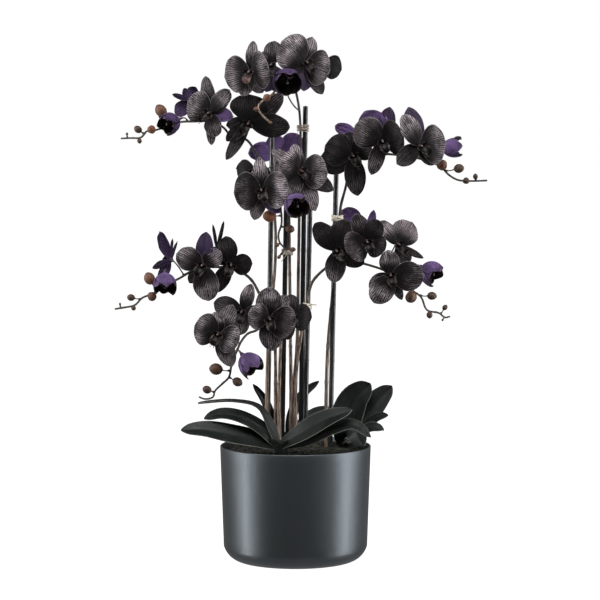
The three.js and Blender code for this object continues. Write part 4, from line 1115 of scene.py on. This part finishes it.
def chip(shape, x, y, chance):
    """A rough chip of bark lying on the soil."""
    long, wide, high = (chance.uniform(*BARK[key]) / 2 for key in ("long", "wide", "high"))
    lean = Quaternion((chance.uniform(-1, 1), chance.uniform(-1, 1), 0), chance.uniform(0, 0.5))
    turn = lean @ Quaternion((0, 0, 1), chance.uniform(0, 6.3))
    centre = Vector((x, y, soil_height(x, y) + high * 0.6))
    sides = BARK["sides"]
    points = []
    for level in (-high, high):
        for k in range(sides):
            rough = spoke(2 * math.pi * k / sides, chance.uniform(0.72, 1.1))
            height = level * chance.uniform(0.6, 1)
            points.append(centre + turn @ Vector((long * rough.x, wide * rough.y, height)))
    faces = [list(range(sides - 1, -1, -1)), list(range(sides, 2 * sides))]
    faces += [[k, (k + 1) % sides, (k + 1) % sides + sides, k + sides] for k in range(sides)]
    shape.add(points, faces, 1, [(0.5, 0.5)] * len(points), chance.random())


def tuft(shape, x, y, chance):
    """A tuft of moss."""
    for _ in range(MOSS["blades"]):
        root_x = x + chance.gauss(0, MOSS["spread"])
        root_y = y + chance.gauss(0, MOSS["spread"])
        if math.hypot(root_x, root_y) > inner_reach(SOIL["top"]) - 3:
            continue
        root = Vector((root_x, root_y, soil_height(root_x, root_y) - 1))
        long = chance.uniform(*MOSS["long"])
        lean = Vector((chance.uniform(-1, 1), chance.uniform(-1, 1), 0)) * long * 0.5
        tip = root + lean + up * long * chance.uniform(0.4, 0.9)
        radii = [MOSS["radius"] * share for share in (1, 0.9, 0.3)]
        tube(shape, [root, root + lean * 0.3 + up * long * 0.5, tip], radii, 3, 2, chance.random())


class Nodes:
    """Adds nodes to the tree of a material or of the world."""

    def __init__(self, tree):
        self.tree = tree

    def put(self, value, socket):
        """Sets an input from a number, a colour or another node's output."""
        if isinstance(value, bpy.types.NodeSocket):
            self.tree.links.new(value, socket)
        else:
            socket.default_value = (*value, 1) if socket.type == "RGBA" else value

    def add(self, kind, inputs=None, **settings):
        made = self.tree.nodes.new(kind)
        for key, value in settings.items():
            setattr(made, key, value)
        for key, value in (inputs or {}).items():
            self.put(value, made.inputs[key])
        return made

    def maths(self, operation, first, second=0.0, third=0.0):
        return self.add("ShaderNodeMath", {0: first, 1: second, 2: third}, operation=operation).outputs[0]

    def times(self, first, second):
        return self.maths("MULTIPLY", first, second)

    def spread(self, value, low, high, to_low=0.0, to_high=1.0):
        """Eases a value from one range to another."""
        inputs = {"Value": value, "From Min": low, "From Max": high, "To Min": to_low, "To Max": to_high}
        return self.add("ShaderNodeMapRange", inputs, interpolation_type="SMOOTHSTEP").outputs["Result"]

    def joined(self, first, second):
        """A vector from two values."""
        return self.add("ShaderNodeCombineXYZ", {0: first, 1: second}).outputs[0]

    def parts(self, vector):
        return self.add("ShaderNodeSeparateXYZ", {0: vector}).outputs


class Finish(Nodes):
    """A material over one shader. Values given by name are the same all over it."""

    def __init__(self, name, **fixed):
        self.made = bpy.data.materials.new(name)
        self.made.use_nodes = True
        super().__init__(self.made.node_tree)
        self.shader = self.tree.nodes["Principled BSDF"]
        for key, value in fixed.items():
            self.put(value, self.shader.inputs[key.replace("_", " ")])

    def mix(self, share, first, second):
        return self.add("ShaderNodeMix", {"Factor": share, 6: first, 7: second}, data_type="RGBA").outputs[2]

    def over(self, ground, colour, value, low, high, most=1.0):
        """Lays a colour over the ground where a value is nearer its high end."""
        return self.mix(self.spread(value, low, high, 0.0, most), ground, colour)

    def tone(self):
        """The tone of the piece at a point."""
        return self.add("ShaderNodeAttribute", attribute_name="tone").outputs["Fac"]

    def place(self, layer="place"):
        return self.parts(self.add("ShaderNodeUVMap", uv_map=layer).outputs[0])

    def along(self):
        """How far along a blade, from its foot to its tip."""
        return self.place()[1]

    def across(self):
        """How far across a blade, from 0 at its midrib to 1 at its edge."""
        return self.maths("ABSOLUTE", self.maths("MULTIPLY_ADD", self.place()[0], 2.0, -1.0))

    def noise(self, scale, detail=4.0, roughness=0.55, stretch=(1, 1, 1)):
        """Noise through the piece, stretched along an axis where its share is under 1."""
        place = self.add("ShaderNodeTexCoord").outputs["Object"]
        vector = self.add("ShaderNodeMapping", {"Vector": place, "Scale": stretch}).outputs["Vector"]
        return self.noise_over(vector, scale, detail, roughness)

    def noise_over(self, vector, scale, detail, roughness=0.55):
        inputs = {"Vector": vector, "Scale": scale, "Detail": detail, "Roughness": roughness}
        return self.add("ShaderNodeTexNoise", inputs).outputs["Fac"]

    def vein_lines(self, fan, wander, many):
        """Lines that run out from the foot of a blade: 1 on a line, 0 between two."""
        phase = self.maths("FRACT", self.maths("MULTIPLY_ADD", fan, many, wander))
        wave = self.times(self.maths("ABSOLUTE", self.maths("SUBTRACT", phase, 0.5)), 2.0)
        return self.spread(wave, *VEIN_WIDTH, 1.0, 0.0)

    def veins(self, many):
        """Fine wavy veins that fan out over a blade, forked toward its edge and broken here and there."""
        fan, along = list(self.place("fan"))[:2]
        place = self.joined(self.times(fan, 5.0), self.times(along, 5.0))
        wander = self.times(self.maths("SUBTRACT", self.noise_over(place, 1.0, 4), 0.5), 1.8)
        main = self.vein_lines(fan, wander, many)
        forks = self.vein_lines(fan, self.times(wander, 2.0), many * 2)
        forks = self.times(forks, self.spread(along, 0.35, 0.65, 0.0, 0.75))
        dashes = self.spread(self.noise_over(place, 3.2, 3), 0.36, 0.56, 0.42, 1.0)
        return self.times(self.maths("MAXIMUM", main, forks), dashes)

    def done(self, colour, height=None, depth=0.0, rough=None):
        """Sets the colour, a bump with its depth in metres, and how rough it is, where they are given."""
        self.put(colour, self.shader.inputs["Base Color"])
        if height is not None:
            bump = self.add("ShaderNodeBump", {"Height": height, "Distance": depth, "Strength": 1.0})
            self.put(bump.outputs["Normal"], self.shader.inputs["Normal"])
        if rough is not None:
            self.put(rough, self.shader.inputs["Roughness"])
        return self.made


def petal_front_finish():
    """The dark velvet front of a petal: pale wavy veins on near-black, painted paler where light falls on it.
    """
    paint = Finish("petal_front", Roughness=0.6, Sheen_Weight=0.015, Sheen_Roughness=0.4,
                   Sheen_Tint=(0.8, 0.72, 0.85), Specular_IOR_Level=0.07)
    net = paint.veins(PETAL_VEINS)
    # Painted light and shade: each blade's tone paints it paler where light falls on it, and it fades to
    # near-black toward its foot as painted shade round the column. The veins follow it.
    pale = paint.times(paint.tone(), paint.spread(paint.along(), 0.26, 0.7, 0.04, 1.15))
    pale = paint.times(pale, paint.spread(paint.noise(42, 3), 0.32, 0.66, 0.25, 1.4))
    # Painted sheen: smooth mauve-grey patches where the velvet catches the light, under which the veins fade
    painted_sheen = paint.spread(paint.noise(26, 2), 0.5, 0.62, 0.0, 0.7)
    ground = paint.mix(pale, PETAL_DARK, PETAL_PAINTED_LIT)
    ground = paint.mix(paint.times(painted_sheen, pale), ground, PETAL_PAINTED_SHEEN)
    vein = paint.mix(pale, VEIN_DARK, VEIN_PALE)
    colour = paint.mix(paint.times(net, paint.maths("SUBTRACT", 1.0, painted_sheen)), ground, vein)
    # A pale edge, partly the petal's own and partly painted rim light, stronger where the blade is painted
    # lit
    edge = paint.spread(paint.maths("MAXIMUM", paint.across(), paint.along()), 0.94, 1.0, 0.0, 0.8)
    edge = paint.times(edge, paint.spread(paint.tone(), 0.0, 0.25, 0.25, 1.0))
    height = paint.maths("MULTIPLY_ADD", net, 0.7, paint.noise(600, 3))
    return paint.done(paint.mix(edge, colour, PETAL_EDGE_AND_RIM_LIGHT), height, 0.0004)


def petal_back_finish():
    """The violet back of a petal, with darker veins and a paler foot, brighter or deeper by painted light and
    shade.
    """
    paint = Finish("petal_back", Roughness=0.6, Sheen_Weight=0.08, Sheen_Roughness=0.4,
                   Sheen_Tint=(0.8, 0.7, 0.95), Specular_IOR_Level=0.2)
    net = paint.veins(BACK_VEINS)
    cloud = paint.noise(34, 3)
    along = paint.along()
    # Painted light and shade: the tone makes the violet brighter where light falls on the blade and deeper
    # where it is in shade
    lit = paint.times(paint.spread(cloud, 0.32, 0.64, 0.4, 1.35), paint.tone())
    ground = paint.mix(lit, VIOLET_DEEP, VIOLET)
    shown = paint.spread(paint.tone(), 0.0, 0.5, 0.15, 1.0)
    ground = paint.mix(paint.times(paint.spread(along, 0.3, 0.0, 0.0, 0.6), shown), ground, VIOLET_FOOT)
    tip = paint.times(paint.spread(along, 0.62, 1.0, 0.0, 0.9), paint.spread(cloud, 0.35, 0.6))
    ground = paint.mix(tip, ground, VIOLET_DEEP)
    colour = paint.mix(paint.times(net, 0.6), ground, VIOLET_VEIN)
    edge = paint.spread(paint.maths("MAXIMUM", paint.across(), along), 0.9, 1.0, 0.0, 0.6)
    return paint.done(paint.mix(paint.times(edge, shown), colour, VIOLET_EDGE), net, 0.0004)


def lip_finish():
    """The lip and the inside of a half-open flower: near-black, mottled paler toward the margins."""
    paint = Finish("lip", Roughness=0.42, Specular_IOR_Level=0.16)
    # Near-black: the lip's own colour, and inside a half-open flower partly painted shade in its mouth
    ground = paint.mix(paint.tone(), LIP_DARK, LIP_WARM)
    rosy = paint.times(paint.spread(paint.tone(), 1.2, 2.0), paint.spread(paint.along(), 0.35, 0.7))
    ground = paint.mix(rosy, ground, LIP_ROSE)
    lit = paint.maths("MULTIPLY_ADD", rosy, 0.7, paint.times(paint.tone(), 0.12))
    ground = paint.mix(paint.times(paint.veins(LIP_VEINS), lit), ground, LIP_STREAK)
    mottle = paint.spread(paint.noise(300, 3), 0.52, 0.62)
    margin = paint.spread(paint.across(), 0.6, 1.0, 0.12, 0.9)
    return paint.done(paint.mix(paint.times(mottle, margin), ground, LIP_VEIN), paint.noise(500, 3), 0.0003)


def column_finish():
    """The column: rosy, with a paler cap and dark speckles."""
    paint = Finish("column", Roughness=0.4, Subsurface_Weight=0.1)
    ground = paint.mix(paint.tone(), COLUMN_ROSE, COLUMN_CAP)
    return paint.done(paint.over(ground, LIP_WARM, paint.noise(420, 3), 0.52, 0.66, 0.7))


def stem_finish():
    """A stem: fibrous brown low down, olive-brown higher up, paler where its tone goes past 1."""
    paint = Finish("stem", Roughness=0.5)
    fibre = paint.noise(620, 4, stretch=(1, 1, 0.05))
    level = paint.maths("MULTIPLY_ADD", paint.maths("SUBTRACT", paint.noise(60, 3), 0.5), 0.35, paint.tone())
    ground = paint.over(paint.over(STEM_LOW, STEM_HIGH, level, 0.35, 0.6), STEM_TIP, level, 1.3, 1.8)
    colour = paint.over(ground, STEM_FIBRE, fibre, 0.44, 0.56, 0.92)
    return paint.done(colour, fibre, 0.0006, paint.spread(fibre, 0.3, 0.8, 0.42, 0.7))


def bud_finish():
    """A bud: warm orange-brown when large, dark olive-brown when small, freckled and darker at its tip."""
    paint = Finish("bud", Roughness=0.55, Specular_IOR_Level=0.3)
    freckle = paint.noise(330, 4)
    ground = paint.mix(paint.tone(), BUD_SMALL, BUD_LARGE)
    ground = paint.over(ground, BUD_FRECKLE, freckle, 0.42, 0.72, 0.55)
    return paint.done(paint.over(ground, BUD_TIP, paint.along(), 0.55, 1.0, 0.5), freckle, 0.0004)


def stake_finish():
    """A lacquered cane: near-black and glossy, one of them greyer as painted reflection, with fine lengthwise
    scratches.
    """
    paint = Finish("stake_lacquer", Coat_Weight=0.35, Coat_Roughness=0.12)
    grain = paint.noise(1100, 4, stretch=(1, 1, 0.02))
    colour = paint.over(paint.mix(paint.tone(), CANE_BLACK, CANE_GREY), CANE_SCRATCH, grain, 0.5, 0.8, 0.5)
    return paint.done(colour, grain, 0.0003, paint.spread(grain, 0.3, 0.75, 0.22, 0.45))


def raffia_finish():
    """Raffia: straw-coloured, from dull to pale by the strand, with darker fibres."""
    paint = Finish("raffia", Roughness=0.75, Sheen_Weight=0.1)
    fibre = paint.noise(1500, 3, stretch=(0.3, 0.3, 1))
    ground = paint.mix(paint.tone(), RAFFIA_DARK, RAFFIA_PALE)
    return paint.done(paint.over(ground, RAFFIA_SHADE, fibre, 0.4, 0.75, 0.6), fibre, 0.0006)


def leaf_finish():
    """The upper side of a leaf: charcoal-green satin with fine lengthwise lines and a darker midrib."""
    paint = Finish("leaf_front", Coat_Weight=0.04, Coat_Roughness=0.25, Specular_IOR_Level=0.2)
    across, along = paint.across(), paint.along()
    lines = paint.noise_over(paint.joined(paint.times(paint.place()[0], 60.0), along), 1.0, 3)
    cloud = paint.noise(32, 4)
    ground = paint.over(LEAF_DARK, LEAF_GREEN, cloud, 0.35, 0.7)
    ground = paint.over(ground, LEAF_LINE, lines, 0.45, 0.7, 0.55)
    ground = paint.over(ground, LEAF_DARK, along, 0.5, 0.0, 0.75)
    ground = paint.over(ground, LEAF_DARK, across, 0.1, 0.0, 0.6)
    colour = paint.over(ground, LEAF_EDGE, across, 0.955, 1.0)
    height = paint.maths("MULTIPLY_ADD", lines, 0.5, cloud)
    return paint.done(colour, height, 0.0008, paint.spread(cloud, 0.3, 0.7, 0.34, 0.52))


def leaf_back_finish():
    """The under side of a leaf and its sheath: duller, browner and finely lined."""
    paint = Finish("leaf_back", Roughness=0.6)
    grain = paint.noise(300, 4, stretch=(1, 1, 0.3))
    ground = paint.mix(paint.tone(), LEAF_UNDER, LEAF_FOOT)
    return paint.done(paint.over(ground, LEAF_DARK, grain, 0.4, 0.7, 0.6), grain, 0.0006)


def soil_finish():
    """Dark crumbly planting material."""
    paint = Finish("soil", Roughness=0.95)
    crumb = paint.noise(260, 6, 0.7)
    return paint.done(paint.over(SOIL_DARK, SOIL_BROWN, crumb, 0.35, 0.65), crumb, 0.003)


def bark_finish():
    """Bark, from dark to golden by the chip."""
    paint = Finish("bark", Roughness=0.85)
    grain = paint.noise(420, 5, 0.65, (1, 0.25, 1))
    ground = paint.mix(paint.tone(), BARK_DARK, BARK_GOLD)
    return paint.done(paint.over(ground, SOIL_DARK, grain, 0.4, 0.7, 0.7), grain, 0.001)


def moss_finish():
    """Moss, from dark to green by the tuft."""
    paint = Finish("moss", Roughness=0.8, Sheen_Weight=0.15)
    ground = paint.mix(paint.tone(), MOSS_DARK, MOSS_GREEN)
    return paint.done(paint.over(ground, SOIL_DARK, paint.noise(500, 2), 0.5, 0.7, 0.5))


def pot_finish():
    """The pot: satin blue-grey metal paint with a fine speckle and soft clouds."""
    paint = Finish("pot_paint", Metallic=1.0, Coat_Weight=0.05, Coat_Roughness=0.25)
    speckle = paint.noise(900, 4, 0.65)
    ground = paint.over(POT_DARK, POT_GREY, paint.noise(9, 4, stretch=(1, 1, 0.4)), 0.3, 0.7)
    colour = paint.over(ground, POT_SPECK, speckle, 0.5, 0.8, 0.4)
    return paint.done(colour, speckle, 0.0002, paint.spread(speckle, 0.3, 0.75, 0.43, 0.55))


def floor_finish():
    """White to the eye, and clear to what the pot mirrors, so that the soft boxes run on below the floor."""
    paint = Finish("floor", Roughness=0.9, Base_Color=FLOOR_COLOUR, Emission_Color=WHITE)
    path = paint.add("ShaderNodeLightPath").outputs
    paint.put(path["Is Camera Ray"], paint.shader.inputs["Emission Strength"])
    clear = paint.add("ShaderNodeBsdfTransparent").outputs[0]
    layers = {0: path["Is Glossy Ray"], 1: paint.shader.outputs[0], 2: clear}
    seen = paint.add("ShaderNodeMixShader", layers).outputs[0]
    paint.put(seen, paint.tree.nodes["Material Output"].inputs["Surface"])
    return paint.made


def placed(name, data, place=(0, 0, 0), heading=None):
    """A new object in the scene, turned to look along a heading if one is given."""
    made = bpy.data.objects.new(name, data)
    made.location = place
    if heading is not None:
        made.rotation_mode = "QUATERNION"
        made.rotation_quaternion = heading.to_track_quat("-Z", "Y")
    bpy.context.scene.collection.objects.link(made)
    return made


def floor():
    """The plain pale floor that the pot stands on."""
    mesh = bpy.data.meshes.new("floor")
    corners = [(x * FLOOR_REACH, y * FLOOR_REACH, 0) for x, y in ((-1, -1), (1, -1), (1, 1), (-1, 1))]
    mesh.from_pydata(corners, [], [[0, 1, 2, 3]])
    mesh.materials.append(floor_finish())
    ground = placed("floor", mesh)


def softbox(name, place, aim, size, energy):
    """A soft light, as a lit rectangle."""
    light = bpy.data.lights.new(name, "AREA")
    light.shape = "RECTANGLE"
    light.size, light.size_y = size
    light.energy = energy
    placed(name, light, place, Vector(aim) - Vector(place))


def surroundings():
    """White all round for the eye, and a gentler light from it for the object."""
    world = bpy.data.worlds.new("studio")
    world.use_nodes = True
    bpy.context.scene.world = world
    light = Nodes(world.node_tree)
    seen = light.add("ShaderNodeLightPath").outputs["Is Camera Ray"]
    heading = light.parts(light.add("ShaderNodeTexCoord").outputs["Generated"])
    glow = light.spread(heading[1], -0.2, 0.9, *WORLD_LIGHT)
    glow = light.maths("ADD", glow, light.spread(heading[2], -0.3, -0.8, 0.0, LIGHT_BELOW))
    power = light.add("ShaderNodeMapRange", {"Value": seen, "To Min": glow, "To Max": 1.0})
    background = world.node_tree.nodes["Background"].inputs
    light.put(WHITE, background["Color"])
    light.put(power.outputs["Result"], background["Strength"])
    for box in SOFTBOXES:
        softbox(*box)
    bpy.context.scene.view_settings.view_transform = "Standard"


def camera():
    """The photograph's view of the object."""
    lens = bpy.data.cameras.new("camera")
    lens.sensor_width = SENSOR
    lens.lens = SENSOR / 2 * view_distance / (CENTRE * STEP)
    bpy.context.scene.camera = placed("camera", lens, EYE * MM, AIM - EYE)


flower_finish = [petal_front_finish(), petal_back_finish(), lip_finish(), column_finish()]

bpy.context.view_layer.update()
camera()
surroundings()
floor()
pot()
soil()
for make, entries in (
        (stake, STAKES), (tie, TIES), (spike, SPIKES), (flower, FLOWERS), (half_open, HALF_OPEN),
        (rosette, ROSETTES)):
    for name, entry in entries.items():
        make(name, entry)
